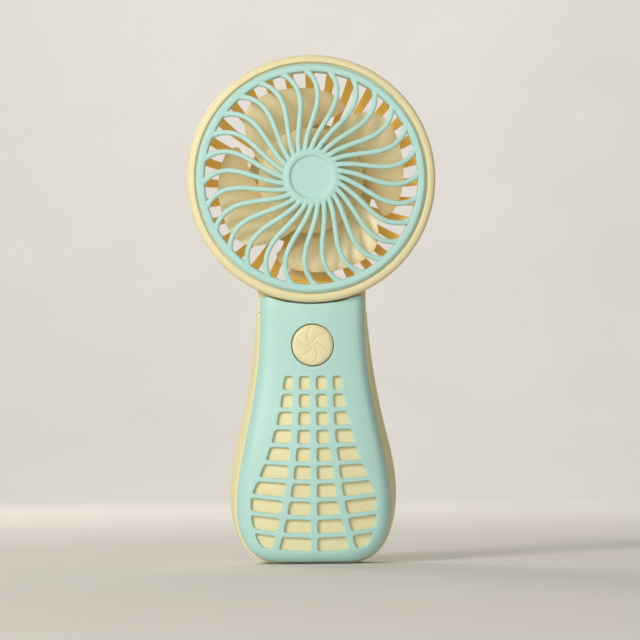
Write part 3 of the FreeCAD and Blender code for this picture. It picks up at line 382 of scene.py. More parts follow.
def make_dust_group():
    """Fine dust that settles on faces turned upwards, broken up by noise; the share is 0 to 1."""
    group, entry, leaving = new_group("settled_dust", {"Normal": (0, 0, 1), "Amount": 0.15}, {"Dust": 1})
    up = spread(group, part_of(group, entry["Normal"], "Z"), 0.45, 1.0)
    broken = spread(group, noise(group, entry["Place"], 1400.0, 4.0, 0.75), 0.42, 0.68)
    share = math_node(group, "MULTIPLY", math_node(group, "MULTIPLY", up, broken), entry["Amount"])
    group.links.new(share, leaving["Dust"])


def make_brushed_group():
    """Turned or drawn metal: fine lines round an axis or along Z, with a patchy bloom."""
    group, entry, leaving = new_group(
        "drawn_metal", {"Stretch": (1, 1, 0.05), "Roughness": 0.3, "Colour": (0.6, 0.6, 0.6, 1)},
        {"Colour": 4, "Roughness": 1, "Height": 1})
    stretched = group.nodes.new("ShaderNodeVectorMath")
    stretched.operation = "MULTIPLY"
    group.links.new(entry["Place"], stretched.inputs[0])
    group.links.new(entry["Stretch"], stretched.inputs[1])
    line = noise(group, stretched.outputs[0], 6000.0, 3.0, 0.6)
    group.links.new(line, leaving["Height"])
    bloom = centred(group, noise(group, entry["Place"], 260.0, 3.0))
    group.links.new(math_node(group, "MULTIPLY_ADD", bloom, 0.25, entry["Roughness"]), leaving["Roughness"])
    shade = math_node(group, "MULTIPLY_ADD", centred(group, line), 0.3, 1.0)
    group.links.new(scaled_colour(group, entry["Colour"], shade), leaving["Colour"])


GROUP_MAKERS = {"moulded_grain": make_grain_group, "resin_tone": make_tone_group,
                "handling_wear": make_wear_group, "settled_dust": make_dust_group,
                "drawn_metal": make_brushed_group}


def place_group(tree, name, place, **values):
    """A shared group placed in a material's tree with its own values."""
    if name not in bpy.data.node_groups:
        GROUP_MAKERS[name]()
    node = tree.nodes.new("ShaderNodeGroup")
    node.node_tree = bpy.data.node_groups[name]
    tree.links.new(place, node.inputs["Place"])
    for label, value in values.items():
        feed(tree, node.inputs[label.replace("_", " ")], value)
    return node


# ---------------------------------------------------------------- finishes

def new_material(name):
    """A material's tree with its shader and its object-space place."""
    material = bpy.data.materials.new(name)
    material.use_nodes = True
    tree = material.node_tree
    tree.nodes.clear()
    output = tree.nodes.new("ShaderNodeOutputMaterial")
    shader = tree.nodes.new("ShaderNodeBsdfPrincipled")
    tree.links.new(shader.outputs["BSDF"], output.inputs["Surface"])
    place = tree.nodes.new("ShaderNodeTexCoord").outputs["Object"]
    return material, tree, shader, place


def bump(tree, shader, height, strength, distance):
    node = tree.nodes.new("ShaderNodeBump")
    node.inputs["Strength"].default_value = strength
    node.inputs["Distance"].default_value = distance
    tree.links.new(height, node.inputs["Height"])
    tree.links.new(node.outputs["Normal"], shader.inputs["Normal"])


def moulded_plastic(name, colour, roughness=0.46, grain=0.00028, cloud=0.07, inside=None, glow=0.06,
                    painted_glow=0.0):
    """Moulded resin: grain, uneven pigment, smudges, a scuffed base and dust on upward faces.

    Given a second colour, the point attribute carries the colour over to it: that deeper tone is painted
    shade and bounced light for faces that sit in shadow.  `glow` is light that wanders under the surface, and
    the painted glow is emission, light painted into the plastic with no lamp behind it, only on the painted
    shade tone where there is one.
    """
    material, tree, shader, place = new_material(name)
    base = colour
    if inside is not None:
        # Painted shade: marked faces take the deeper colour that stands in for the shade inside the head.
        attribute = tree.nodes.new("ShaderNodeAttribute")
        attribute.attribute_name = "inside"
        base = mix_colours(tree, attribute.outputs["Fac"], colour, inside)
    tone = place_group(tree, "resin_tone", place, Colour=base, Cloud=cloud, Speck=0.35)
    wear = place_group(tree, "handling_wear", place, Base_band=0.0035, Smudge=0.25)
    normal = tree.nodes.new("ShaderNodeNewGeometry").outputs["Normal"]
    dust = place_group(tree, "settled_dust", place, Normal=normal, Amount=0.12)
    worn = mix_colours(tree, math_node(tree, "MULTIPLY", wear.outputs["Scuff"], 0.35),
                       tone.outputs["Colour"], (0.78, 0.74, 0.66))
    dusty = mix_colours(tree, dust.outputs["Dust"], worn, (0.80, 0.78, 0.74))
    tree.links.new(dusty, shader.inputs["Base Color"])
    surface = place_group(tree, "moulded_grain", place, Grain_size=grain, Waviness=0.5, Roughness=roughness,
                          Patchiness=0.10)
    rough = math_node(tree, "MULTIPLY_ADD", wear.outputs["Smudge"], -0.12, surface.outputs["Roughness"])
    tree.links.new(rough, shader.inputs["Roughness"])
    bump(tree, shader, surface.outputs["Height"], 0.16, 0.00005)
    shader.inputs["IOR"].default_value = 1.5
    shader.inputs["Subsurface Weight"].default_value = glow
    shader.inputs["Subsurface Radius"].default_value = (0.0016, 0.0011, 0.0006)
    # Painted glow: emission that lights the plastic from within, with no lamp behind it.
    if painted_glow:
        lit = dusty
        if inside is not None:
            lit = mix_colours(tree, attribute.outputs["Fac"], (0, 0, 0), dusty)
        tree.links.new(lit, shader.inputs["Emission Color"])
        shader.inputs["Emission Strength"].default_value = painted_glow
    return material


def drawn_metal(name, colour, roughness=0.3, stretch=(1.0, 1.0, 0.05)):
    """Bare metal with fine drawing or turning lines."""
    material, tree, shader, place = new_material(name)
    metal = place_group(tree, "drawn_metal", place, Stretch=stretch, Roughness=roughness, Colour=colour)
    tree.links.new(metal.outputs["Colour"], shader.inputs["Base Color"])
    tree.links.new(metal.outputs["Roughness"], shader.inputs["Roughness"])
    bump(tree, shader, metal.outputs["Height"], 0.1, 0.00002)
    shader.inputs["Metallic"].default_value = 1.0
    return material


def inner_part(name, colour, roughness, scale, contrast, metallic=0.0):
    """A hidden part's finish: its colour broken by a fine noise of the given scale."""
    material, tree, shader, place = new_material(name)
    share = spread(tree, noise(tree, place, scale, 4.0, 0.6), 0.35, 0.65)
    dark = tuple(value * (1 - contrast) for value in colour)
    tree.links.new(mix_colours(tree, share, dark, colour), shader.inputs["Base Color"])
    rough = math_node(tree, "MULTIPLY_ADD", share, 0.15, roughness)
    tree.links.new(rough, shader.inputs["Roughness"])
    bump(tree, shader, share, 0.15, 0.00003)
    shader.inputs["Metallic"].default_value = metallic
    return material


# ---------------------------------------------------------------- grille

HUB, OPENING, EDGE = 10.0, 39.0, 41.95
HUB_FRONT, RING_FRONT, THICK = -17.0, -14.4, 1.8
SPOKES, SPOKE_HALF = 28, 0.9


def dome_depth(radius):
    """Front of the grille's dome: the circle through its hub edge, its ring edge and a point between.

    depth = centre - sqrt(R^2 - (radius - offset)^2), with the circle solved from the three points.
    """
    near, far = np.array([HUB, HUB_FRONT]), np.array([OPENING, RING_FRONT])
    middle = np.array([(HUB + OPENING) / 2, HUB_FRONT + 0.30 * (RING_FRONT - HUB_FRONT)])
    sides = np.array([far - near, middle - near])
    centre = np.linalg.solve(sides, np.sum(sides * (sides / 2 + near), axis=1))
    return centre[1] - np.sqrt(np.sum((near - centre) ** 2) - (radius - centre[0]) ** 2)


def spoke_angle(along):
    """Lean of a spoke, in degrees, from its inner end: -49.7 a + 25 a^2 + 13.45 a^3."""
    return -49.7 * along + 25.0 * along ** 2 + 13.45 * along ** 3


def spoke_grids():
    """Each spoke is a rounded section carried along its leaning line over the dome.

    radius = HUB + 29 a; angle = start + lean(a); the section stands square to the line, and its foot
    widens by 0.5 mm at the hub and the ring, like a small fillet.
    """
    along = np.linspace(-0.03, 1.03, 46)
    radius = HUB + (OPENING - HUB) * along
    flare = 0.45 * np.exp(-np.abs(along) / 0.025) + 0.75 * np.exp(-np.abs(1 - along) / 0.025)
    reach = min(in_mm(settings().spoke_round), SPOKE_HALF * 0.95)
    front = rounded_outline([(-SPOKE_HALF, THICK, 0.3), (SPOKE_HALF, THICK, 0.3),
                             (SPOKE_HALF, 0, reach), (-SPOKE_HALF, 0, reach)], 5)
    widened = np.repeat(front[None], len(along), 0)
    widened[..., 0] *= (1 + flare / SPOKE_HALF * 0.5)[:, None]
    depth = dome_depth(np.clip(radius, HUB, OPENING)) + 0.06
    grids = []
    for start in 90 + np.arange(SPOKES) * 360 / SPOKES:
        path = polar(radius, start + spoke_angle(along), depth)
        ahead = directions(path)
        inward = np.zeros_like(path)
        inward[:, 1] = 1.0
        inward -= ahead * np.sum(inward * ahead, axis=1, keepdims=True)
        inward /= np.linalg.norm(inward, axis=1, keepdims=True)
        grids.append((with_ends(carried(path, np.cross(ahead, inward), inward, widened)), False, True))
    return grids


class FAN_OT_grille(bpy.types.Operator):
    """Domed grille: an outer ring, a dished hub and 28 leaning spokes"""

    bl_idname = "fan.grille"
    bl_label = "Grille"

    def execute(self, context):
        ring = rounded_outline([
            (OPENING, RING_FRONT, 0.5), (EDGE - 0.9, RING_FRONT, 0.35), (EDGE, RING_FRONT + 1.1, 0.4),
            (EDGE, RING_FRONT + THICK, 0.15), (OPENING - 0.4, RING_FRONT + THICK, 0.3)], 6)
        hub = np.array([(0, -16.3), (6.9, -16.3), (7.35, -16.33), (7.6, -16.45), (7.78, -16.75),
                        (7.95, -16.93), (8.25, HUB_FRONT), (9.2, HUB_FRONT), (9.75, -16.93), (10.25, -16.7),
                        (10.6, -16.3), (10.65, -15.6), (10.4, -15.1), (9.9, -14.95), (0, -14.95)])
        grids = [(turned(ring), True, True), (turned(hub), True, False)] + spoke_grids()
        place_piece("swirl_grille", make_mesh("swirl_grille", grids, sharp=50),
                    moulded_plastic("mint_grille", settings().mint, 0.42), "handle",
                    ("front_grille",))
        return {"FINISHED"}


# ---------------------------------------------------------------- head: rim, cage, strut and neck

SEAT, FLOOR, BOWL, WALL, BULGE = 20.0, 9.8, 39.8, 2.0, 1.9
RIM_INNER, RIM_OUTER, RIM_FRONT, RIM_BACK, GRILLE_SEAT = 42.4, 45.3, -13.6, -7.4, -12.55
BARS, HIDDEN_BARS, SLOT, BAR_WALL, BAR_ROUND = 32, 3, 6.4, 1.97, 1.6
FOOT_HALF_ANGLE, RIB_DEPTH, RIB_WAVES = 13.7, 0.4, 4
STRUT_HALF, NECK_HALF, NECK_ROUND, BACK_CROWN = 7.85, 19.75, 4.6, 60.0


def cage_side(radius, floor, t):
    """The cage's rounded side, (radius, depth): a superellipse from the rim's back to the flat centre."""
    out, back = np.cos(t) ** (2 / BULGE), np.sin(t) ** (2 / BULGE)
    return np.stack([SEAT + (radius - SEAT) * out, RIM_BACK + (floor - RIM_BACK) * back], -1)


def bar_grids():
    """Each bar is a rounded section between the cage's inner and outer sides, carried round the bowl.

    Its half width is r sin(half angle), so the slots stay wedge-shaped.  Each corner of the section is a
    curve whose points lie (1 - t)^2 and t^2 of the rounding from the corner along its two sides.
    """
    t = np.linspace(0.0, math.pi / 2, 30)
    inner, outer = cage_side(BOWL, FLOOR, t), cage_side(BOWL + BAR_WALL, FLOOR + BAR_WALL, t)
    beyond_seat = outer[:, 0] > SEAT + 1
    inner, outer = inner[beyond_seat], outer[beyond_seat]
    reach = in_mm(settings().edge_round) * BAR_ROUND
    fall, rise = reach * np.linspace(1, 0, 5) ** 2, reach * np.linspace(0, 1, 5) ** 2
    along_width = np.concatenate([rise, fall, rise, fall])
    along_wall = np.concatenate([fall, rise, fall, rise]) / np.linalg.norm(outer - inner, axis=1)[:, None]
    sign, back = np.repeat([-1, 1, 1, -1], 5), np.repeat([False, False, True, True], 5)
    share = np.where(back, 1 - along_wall, along_wall)
    half_angle = math.radians(360 / BARS - SLOT) / 2
    half = np.where(back, outer[:, :1], inner[:, :1]) * math.sin(half_angle) - along_width
    radius, depth = (inner[:, axis, None] + (outer - inner)[:, axis, None] * share for axis in (0, 1))
    grids = []
    for number in range(BARS - HIDDEN_BARS):
        angle = math.radians(270 + (number + 2) * 360 / BARS)
        grid = np.stack([radius * math.cos(angle) - sign * half * math.sin(angle), depth,
                         AXIS + radius * math.sin(angle) + sign * half * math.cos(angle)], -1)
        grids.append((with_ends(grid), False, True))
    return grids


def bar_shade_marks(grids):
    """Inner faces of the bars carry the painted shade tone: 1 on the bowl side, fading on the flanks."""
    marks = np.concatenate([np.ones(10), np.linspace(0.6, 0.0, 5), np.linspace(0.0, 0.6, 5)])
    return [np.broadcast_to(marks[None, :], grid.shape[:2]) for grid, _, _ in grids]


def foot_grid():
    """The solid sector at the bottom of the bowl, its inner face ribbed by arcs near the rim.

    Radius and depth follow the cage's sides.  The ribs stand proud by 0.4 sin^2(4 pi s), s being the share
    of the ribbed stretch.  Returned with the marks of the painted shade tone, 1 on the inner face.
    """
    t = np.linspace(0, 1.42, 64)
    inner, outer = cage_side(BOWL, FLOOR, t), cage_side(BOWL + WALL, FLOOR + WALL, t)
    share = np.clip((t - 0.12) / 0.62, 0, 1)
    wave = RIB_DEPTH * np.sin(share * math.pi * RIB_WAVES) ** 2
    inner = inner - np.stack([wave * 0.6, wave * 0.8], -1)
    loop = np.concatenate([inner, outer[::-1]])
    angles = 270 + np.linspace(-FOOT_HALF_ANGLE, FOOT_HALF_ANGLE, 15)[:, None]
    grid = with_ends(polar(loop[:, 0], angles, loop[:, 1]))
    return grid, np.broadcast_to(np.repeat([1.0, 0.0], len(t)), grid.shape[:2])


def column_grid(section, low, high):
    """An upright column: its section carried from a level foot to a top whose height follows x."""
    share = np.linspace(0, 1, 9)[:, None]
    top = high(section[:, 0])
    height = low + (top - low)[None, :] * share
    return with_ends(np.stack(np.broadcast_arrays(section[:, 0], section[:, 1], height), -1))


def round_hollow(radius):
    """Height of the lower half of a cylinder about the head's axis, for each x."""
    return lambda across: AXIS - np.sqrt(radius ** 2 - np.clip(np.abs(across), 0, radius - 1) ** 2)


class FAN_OT_head(bpy.types.Operator):
    """Head: a rolled rim, 29 bars, a flat seat, the strut and the neck"""

    bl_idname = "fan.head"
    bl_label = "Head"

    def execute(self, context):
        rim = rounded_outline([
            (RIM_INNER, RIM_FRONT, 0.5), (RIM_OUTER, RIM_FRONT, 2.3), (RIM_OUTER, RIM_BACK, 2.3),
            (41.6, RIM_BACK, 0.05), (BOWL, RIM_BACK, 0.05), (BOWL, GRILLE_SEAT, 0.3),
            (RIM_INNER, GRILLE_SEAT, 0.1)], 9)
        band = np.concatenate([cage_side(BOWL + WALL, FLOOR + WALL, np.linspace(0.0, 0.375, 12)),
                               [(40.35, -0.75), (40.2, -1.1), (40.2, RIM_BACK)]])
        plate_t = np.linspace(1.40, math.pi / 2, 6)
        plate = np.concatenate([[(0, FLOOR)], cage_side(BOWL, FLOOR, plate_t)[::-1], [(21.75, 10.6)],
                                cage_side(BOWL + WALL, FLOOR + WALL, plate_t), [(0, FLOOR + WALL)]])
        boss = rounded_outline([(15.5, 11.0, 0.05), (17.5, 11.0, 0.05), (17.5, 13.4, 0.6),
                                (15.5, 13.4, 0.3)], 6)
        bars = bar_grids()
        foot, foot_shade_mark = foot_grid()
        strut = rounded_outline([(-STRUT_HALF, 2.5, 1.0), (STRUT_HALF, 2.5, 1.0), (STRUT_HALF, 12.5, 2.6),
                                 (-STRUT_HALF, 12.5, 2.6)], 6)
        # The rim's bore is marked for the painted shade tone as well.
        bore_shade_mark = (rim[:, 0] < RIM_INNER - 1.4) * 1.0
        pieces = [(turned(rim), True, True, bore_shade_mark), (turned(band), True, True, 0.0),
                  (turned(plate), True, False, 0.0), (turned(boss), True, True, 0.0),
                  (foot, False, True, foot_shade_mark),
                  (column_grid(strut, 98.5, lambda across: 122.0 + 0 * across), False, True, 0.0),
                  (column_grid(self.neck_section(), 91.9, round_hollow(41.2)), False, True, 0.0)]
        grids = [piece[:3] for piece in pieces] + bars
        # The marks lay the painted shade tone on the cage's inner faces, and the material adds a painted glow
        # there.
        mesh = make_mesh("caged_head", grids, [piece[3] for piece in pieces] + bar_shade_marks(bars), sharp=50)
        material = moulded_plastic("cream_head_with_painted_shade", settings().cream, 0.44, inside=settings().inside, glow=0.12,
                                   painted_glow=0.09)
        place_piece("caged_head", mesh, material, "handle", ("head_housing",))
        return {"FINISHED"}

    def neck_section(self):
        """The neck from above: a flat front, straight sides and a crowned back with rounded edges.

        The back is -60 + sqrt(71.8^2 - x^2); its edges are quarter circles of 4.6 mm.
        """
        flat = NECK_HALF - NECK_ROUND
        across = np.linspace(-1, 1, 13) * flat
        back = -BACK_CROWN + np.sqrt((BACK_CROWN + 11.8) ** 2 - across ** 2)
        corner = np.linspace(0, math.pi / 2, 7)[1:-1]
        edge = back[-1] - NECK_ROUND - 0.15
        right = np.stack([flat + NECK_ROUND * np.sin(corner), edge + NECK_ROUND * np.cos(corner)], -1)
        side = np.array([(NECK_HALF, edge), (NECK_HALF, 2.0), (NECK_HALF, -4.0), (NECK_HALF - 0.4, -4.4)])
        return np.concatenate([right[::-1] * [-1, 1], np.stack([across, back], -1), right, side,
                               [(0.0, -4.4)], side[::-1] * [-1, 1]])


# ---------------------------------------------------------------- impeller

def blade_grid(turn):
    """One blade: a thin leaf over (along, across), v = 0 at its front edge and 1 at its rear edge.

    reach = (r - 19.2) / 16.7; angle = turn + front + (rear - front) v with front = 30 - 28 reach and
    rear = -37 - 31 (1 - (1 - bend)^2); depth runs from the front line to the rear line, less 0.8 sin(pi v).
    The leaf thins to its edges: thickness = 1.1 (1 - 0.6 |2v - 1|^6).
    """
    across = (1 - np.cos(np.linspace(0, math.pi, 41))) / 2
    tip = 35.9 - 3.2 * across - 3.4 * np.abs(2 * across - 1) ** 9
    share = np.linspace(0, 1, 34)[:, None] ** 0.85
    radius = 17.4 + (tip[None, :] - 17.4) * share
    reach = (radius - 19.2) / (35.9 - 19.2)
    front = 30 - 28 * reach
    bend = np.clip(reach / 0.72, -0.2, 1)
    rear = -37 - 31 * (1 - (1 - bend) ** 2)
    angle = turn + front + (rear - front) * across
    lift = np.sin(math.pi / 2 * np.clip(reach * 1.08, 0, 1))
    low, high = -7.6 - 3.9 * lift, -1.6 * lift
    depth = low + (high - low) * across - 0.8 * np.sin(math.pi * across)
    surface = polar(radius, angle, depth)
    edge = 1 - 0.6 * np.abs(2 * across - 1)[None, :] ** 6
    rim = 1 - 0.6 * np.clip((share - 0.86) / 0.14, 0, 1) ** 2
    thickness = 1.1 * edge * rim
    back = surface.copy()
    back[..., 1] += thickness * 0.5 + 0.55
    surface[..., 1] += 0.55 - thickness * 0.5
    loop = np.concatenate([surface, back[:, ::-1]], axis=1)
    return with_ends(loop)


class FAN_OT_impeller(bpy.types.Operator):
    """Impeller: a domed hub and four swept blades"""

    bl_idname = "fan.impeller"
    bl_label = "Impeller"

    def execute(self, context):
        dome = spline([(0, -12.8), (7.33, -12.65), (13.9, -10.6), (17.95, -7.8), (19.3, -5.2)], 30,
                      (1, 0), (0, 1))
        hub = np.concatenate([dome, [(19.3, -2.0), (19.3, 1.1), (19.1, 1.4), (18.6, 1.5), (18.0, 1.4),
                                     (17.9, 1.0), (17.9, -4.9)],
                              spline([(17.7, -5.4), (13.0, -9.3), (7.0, -11.3), (0, -11.4)], 12)])
        grids = [(turned(hub, 144), True, False)]
        grids += [(blade_grid(41.5 + 90 * number), False, True) for number in range(4)]
        mesh = make_mesh("swept_impeller", grids, sharp=55)
        # The blades carry a faint painted glow, emission that evens out their shading.
        material = moulded_plastic("blade_resin_with_painted_glow", settings().blade, 0.38, grain=0.0005, glow=0.25,
                                   painted_glow=0.015)
        place_piece("swept_impeller", mesh, material, "rotor", ("impeller",))
        return {"FINISHED"}


# ---------------------------------------------------------------- button

class FAN_OT_button(bpy.types.Operator):
    """Push button: a low dome with six spiral grooves, like a pinwheel"""

    bl_idname = "fan.button"
    bl_label = "Button"

    def execute(self, context):
        place_piece("pinwheel_button", self.button_mesh(),
                    moulded_plastic("cream_button", settings().cream, 0.42), "button",
                    ("power_button",))
        return {"FINISHED"}

    def button_mesh(self):
        """Depth over (radius, angle): the dome's profile plus the pinwheel.

        A groove's middle runs at start - 62 (r / R) degrees, and its depth is groove exp(-(d / 0.26)^2), d
        being the distance to it.  Between two grooves the face rises like a petal, by 0.12 q (1 - q)^0.7, q
        being the share of the way from one groove to the next.
        """
        radius = np.concatenate([np.linspace(0, 5.6, 42), np.linspace(5.7, 7.15, 12)])[:, None]
        angle = np.linspace(0, 360, 288, endpoint=False)[None, :]
        profile = spline([(0, -12.6), (3.0, -12.57), (5.6, -12.48), (6.7, -12.26), (7.15, -12.02)], 80)
        face = np.interp(radius, profile[:, 0], profile[:, 1])
        lean = angle + 62 * radius / 7.4 - 28
        share = (lean / 60) % 1.0
        distance = np.minimum(share, 1 - share) * math.radians(60) * radius
        fade = np.clip(radius / 1.2, 0, 1) * np.clip((7.0 - radius) / 0.9, 0, 1)
        depth = in_mm(settings().groove_depth)
        groove = depth * np.exp(-(distance / 0.26) ** 2) * fade
        petal = 0.12 * share * (1 - share) ** 0.7 * fade * np.clip(radius / 4.0, 0, 1)
        y = np.maximum(face + groove + 0.06 - petal, -12.6)
        turn = np.radians(angle)
        top = np.stack([radius * np.cos(turn), y, BUTTON_HEIGHT + radius * np.sin(turn)], -1)
        skirt = turned([(7.32, -11.86), (7.4, -11.6), (7.4, -9.85), (8.3, -9.75), (8.3, -9.3), (5.0, -9.3),
                        (5.0, -10.1), (0, -10.13)], 288, BUTTON_HEIGHT).transpose(1, 0, 2)
        return make_mesh("pinwheel_button", [(np.concatenate([top, skirt]), False, True)], sharp=50)


# ---------------------------------------------------------------- front cover

OUTLINE_HEIGHTS = [4.6, 12.0, 22.0, 37.4, 52.0, 66.6, 84.8]
COVER_HALF_WIDTHS = [22.7, 26.85, 27.9, 26.0, 23.1, 20.5, 19.05]
FRONT_LINE = [(-6, -12.6), (12, -15.2), (28, -16.1), (50, -14.9), (74, -12.5), (106, -11.8)]
PARTING, SHOULDER, FRONT_CROWN = -4.5, 4.2, 90.0
STEP_LOW, STEP_RISE, STEP_DEPTH = 94.8, 0.5, 0.8
WINDOW_TOP, PITCH, ROWS, WINDOW_HEIGHT, RIB, TRIM = 68.1, 6.5, 10, 5.1, 2.3, 0.13
CORNER_REACH, CORNER_CUT, WINDOW_MARGIN = 0.75, 0.21, 5.0
BORDER, RIM_ARC, BUTTON_HOLE, FOOT_CORNER = 3.0, 45.8, 7.82, 15.5
BASE_COUNT, BASE_RUN = 60, 400
UPPER_ROWS = -np.array([3.22, 3.05, 2.80, 2.55, 2.30, 2.05, 1.80, 1.55, 1.30, 1.05, 0.80, 0.55, 0.32, 0.14,
                        0.03])
ARC_SHARES = np.array([1.0, 0.955, 0.87, 0.76, 0.64, 0.50, 0.34, 0.17])
LOW_SHARES = np.array([0.3, 0.62, 1.0])
RING_SHARES = np.array([0.0, 0.07, 0.25, 0.5, 0.75, 1.0])
INWARD = np.array([BORDER, 2.1, 1.35, 0.75, 0.33, 0.08, 0.0, 0.0, 0.0, 0.0])
WALL_SHARES = np.array([0.4, 0.85, 1.0])
# Columns of the right half where the windows and the border begin, and the lines of one row of windows.
INNER_FROM, INNER_TO, OUTER_FROM, OUTER_TO, ROW_LINES = 2, 6, 10, 15, 8


def cover_outline(count=1600):
    """Right side of the cover's edge, (x, z), from the flat base up to the rim."""
    points = [(12.0, 0.75)] + list(zip(COVER_HALF_WIDTHS, OUTLINE_HEIGHTS)) + [(19.05, 100.0)]
    side = spline(points, count, (1, 0), (0, 1))
    base = np.stack([np.linspace(0, 12.0, BASE_COUNT)[:-1], np.full(BASE_COUNT - 1, 0.75)], -1)
    return np.concatenate([base, side])


def outline_normals(outline):
    """Inward unit normals of the outline: its direction turned a quarter to the left."""
    along = directions(outline)
    return np.stack([-along[:, 1], along[:, 0]], -1)


def edge_distance(points, outline):
    """Least distance from each (x, z) to the outline's points; symmetric about x = 0."""
    flat = np.stack([np.abs(points[..., 0]).ravel(), points[..., 1].ravel()], -1)
    gaps = [np.min(np.hypot(part[:, 0:1] - outline[None, :, 0], part[:, 1:2] - outline[None, :, 1]), axis=1)
            for part in np.array_split(flat, max(1, len(flat) // 400))]
    return np.concatenate(gaps).reshape(points.shape[:-1])


def cover_depth(points, distance):
    """Depth of the cover's face at (x, z): a crown across, a rounded shoulder and the step under the rim.

    crown = 90 - sqrt((90 - line(z))^2 - x^2); shoulder = s - sqrt(s^2 - (s - d)^2) for d < s;
    step = 0.8 of a smooth step at z = 95.
    """
    line = spline(FRONT_LINE, 400)
    middle = np.interp(points[..., 1], line[:, 0], line[:, 1])
    crown = FRONT_CROWN - np.sqrt((FRONT_CROWN - middle) ** 2 - points[..., 0] ** 2)
    short = np.clip(SHOULDER - distance, 0, SHOULDER)
    step = np.clip((points[..., 1] - STEP_LOW) / STEP_RISE, 0, 1)
    return crown + SHOULDER - np.sqrt(SHOULDER ** 2 - short ** 2) + STEP_DEPTH * step ** 2 * (3 - 2 * step)


def window_edges(row):
    """Half widths of a row's inner and outer windows at a row place, 0 at the top.

    inner = 4.96 + 6.54 s^2.2, s being the share of the way down; outer = 10.25 + 0.69 row + 0.164 row^2.
    """
    down = np.clip(row, 0, None)
    inner = 4.96 + 6.54 * (down / (ROWS - 1)) ** 2.2
    return inner, inner + RIB, 10.25 + 0.69 * down + 0.164 * down ** 2


def row_height(row, across):
    """Height of a row's line; it curves up to the sides, most in the lower rows."""
    smile = 2.0 * (np.clip(row, 0, None) / (ROWS - 1)) ** 0.9
    return WINDOW_TOP - PITCH * row + smile * (across / 22) ** 2


def split(knots, shares):
    """Places between neighbouring knots, at each pair's own shares; the last knot is kept."""
    runs = [knots[..., i:i + 1] + (knots[..., i + 1:i + 2] - knots[..., i:i + 1]) * np.asarray(part)
            for i, part in enumerate(shares)]
    return np.concatenate(runs + [knots[..., -1:]], axis=-1)


def at_index(curve, index):
    """Points of a curve at fractional indices."""
    place = np.arange(len(curve))
    return np.stack([np.interp(index, place, curve[:, axis]) for axis in (0, 1)], -1)


def rim_arc(across):
    """Height of the cover's top: a circle about the head's axis, AXIS - sqrt(R^2 - x^2)."""
    return AXIS - np.sqrt(RIM_ARC ** 2 - across ** 2)


def cover_lines():
    """Row places of the face's level lines, and how each is pushed at the windows' corners.

    A place is 0 at the top window's upper edge and grows by 1 for each pitch.  Above the windows come the
    upper rows; then each window has four lines and the bar below it four more.  A push of -1 or 1 moves a
    window's edge, and the line that holds it, down or up where it meets an upright edge.
    """
    tall, trim = WINDOW_HEIGHT / PITCH, TRIM / PITCH
    steps = np.concatenate([trim + np.array([0.0, 0.17, 0.5, 0.83]) * (tall - 2 * trim),
                            [tall - trim, tall + 0.8 * trim, (1 + tall) / 2, 1 - 0.8 * trim]])
    rows = np.concatenate([UPPER_ROWS] + [number + steps for number in range(ROWS)])[:-2]
    push = np.concatenate([0 * UPPER_ROWS, np.tile([-1, 0, 0, 0, 1, 1, 0, -1], ROWS)[:-2]])
    push[len(UPPER_ROWS) - 1] = -1
    return rows, push


def border_places(border, rows):
    """Where the face's lines end on the border, as fractional indices along it.

    Returned are the ends under the rim, beside the rows and round the lower corner, then the corner itself
    and the border's lower run.
    """
    start = int(np.argmin(np.abs(border[:, 0] - 14.0) + (border[:, 1] > 10) * 100))
    side, place = border[start:], np.arange(start, len(border))
    beside = np.array([np.interp(0.0, side[:, 1] - row_height(row, side[:, 0]), place) for row in rows])
    top = np.interp(0.0, side[:, 1] - rim_arc(side[:, 0]), place)
    base = border[:start + BASE_RUN]
    corner = np.interp(FOOT_CORNER, base[:, 0], np.arange(len(base)))
    arc = beside[0] + (top - beside[0]) * ARC_SHARES
    return arc, beside, beside[-1] + (corner - beside[-1]) * LOW_SHARES, corner, base


def face_columns(rows, side, outline):
    """Half widths of the face's upright lines at each row place.

    Columns: rib, inner window, rib, outer window, border.  Inside a window the first and the last line
    stand CORNER_REACH from its edges.
    """
    inner, second, outer = window_edges(rows)
    side_of_cover = outline[BASE_COUNT + 4:]
    limit = np.interp(row_height(rows, 20.0), side_of_cover[:, 1], side_of_cover[:, 0]) - WINDOW_MARGIN
    outer = np.minimum(outer, limit) - 0.1
    knots = np.stack([0 * rows, 0 * rows + RIB / 2 + 0.1, inner - 0.1, second + 0.1, outer, side], -1)
    wide_inner = CORNER_REACH / (knots[:, 2] - knots[:, 1])[:, None]
    wide_outer = CORNER_REACH / (knots[:, 4] - knots[:, 3])[:, None]
    return split(knots, [(0.0, 0.78), wide_inner * [0, 1, 0, -1] + [0, 0, 0.5, 1], (0.0, 0.12, 0.5, 0.88),
                         wide_outer * [0, 1, 0, 0, -1] + [0, 0, 0.35, 0.65, 1], (0.0, 0.08, 0.3, 0.65)])


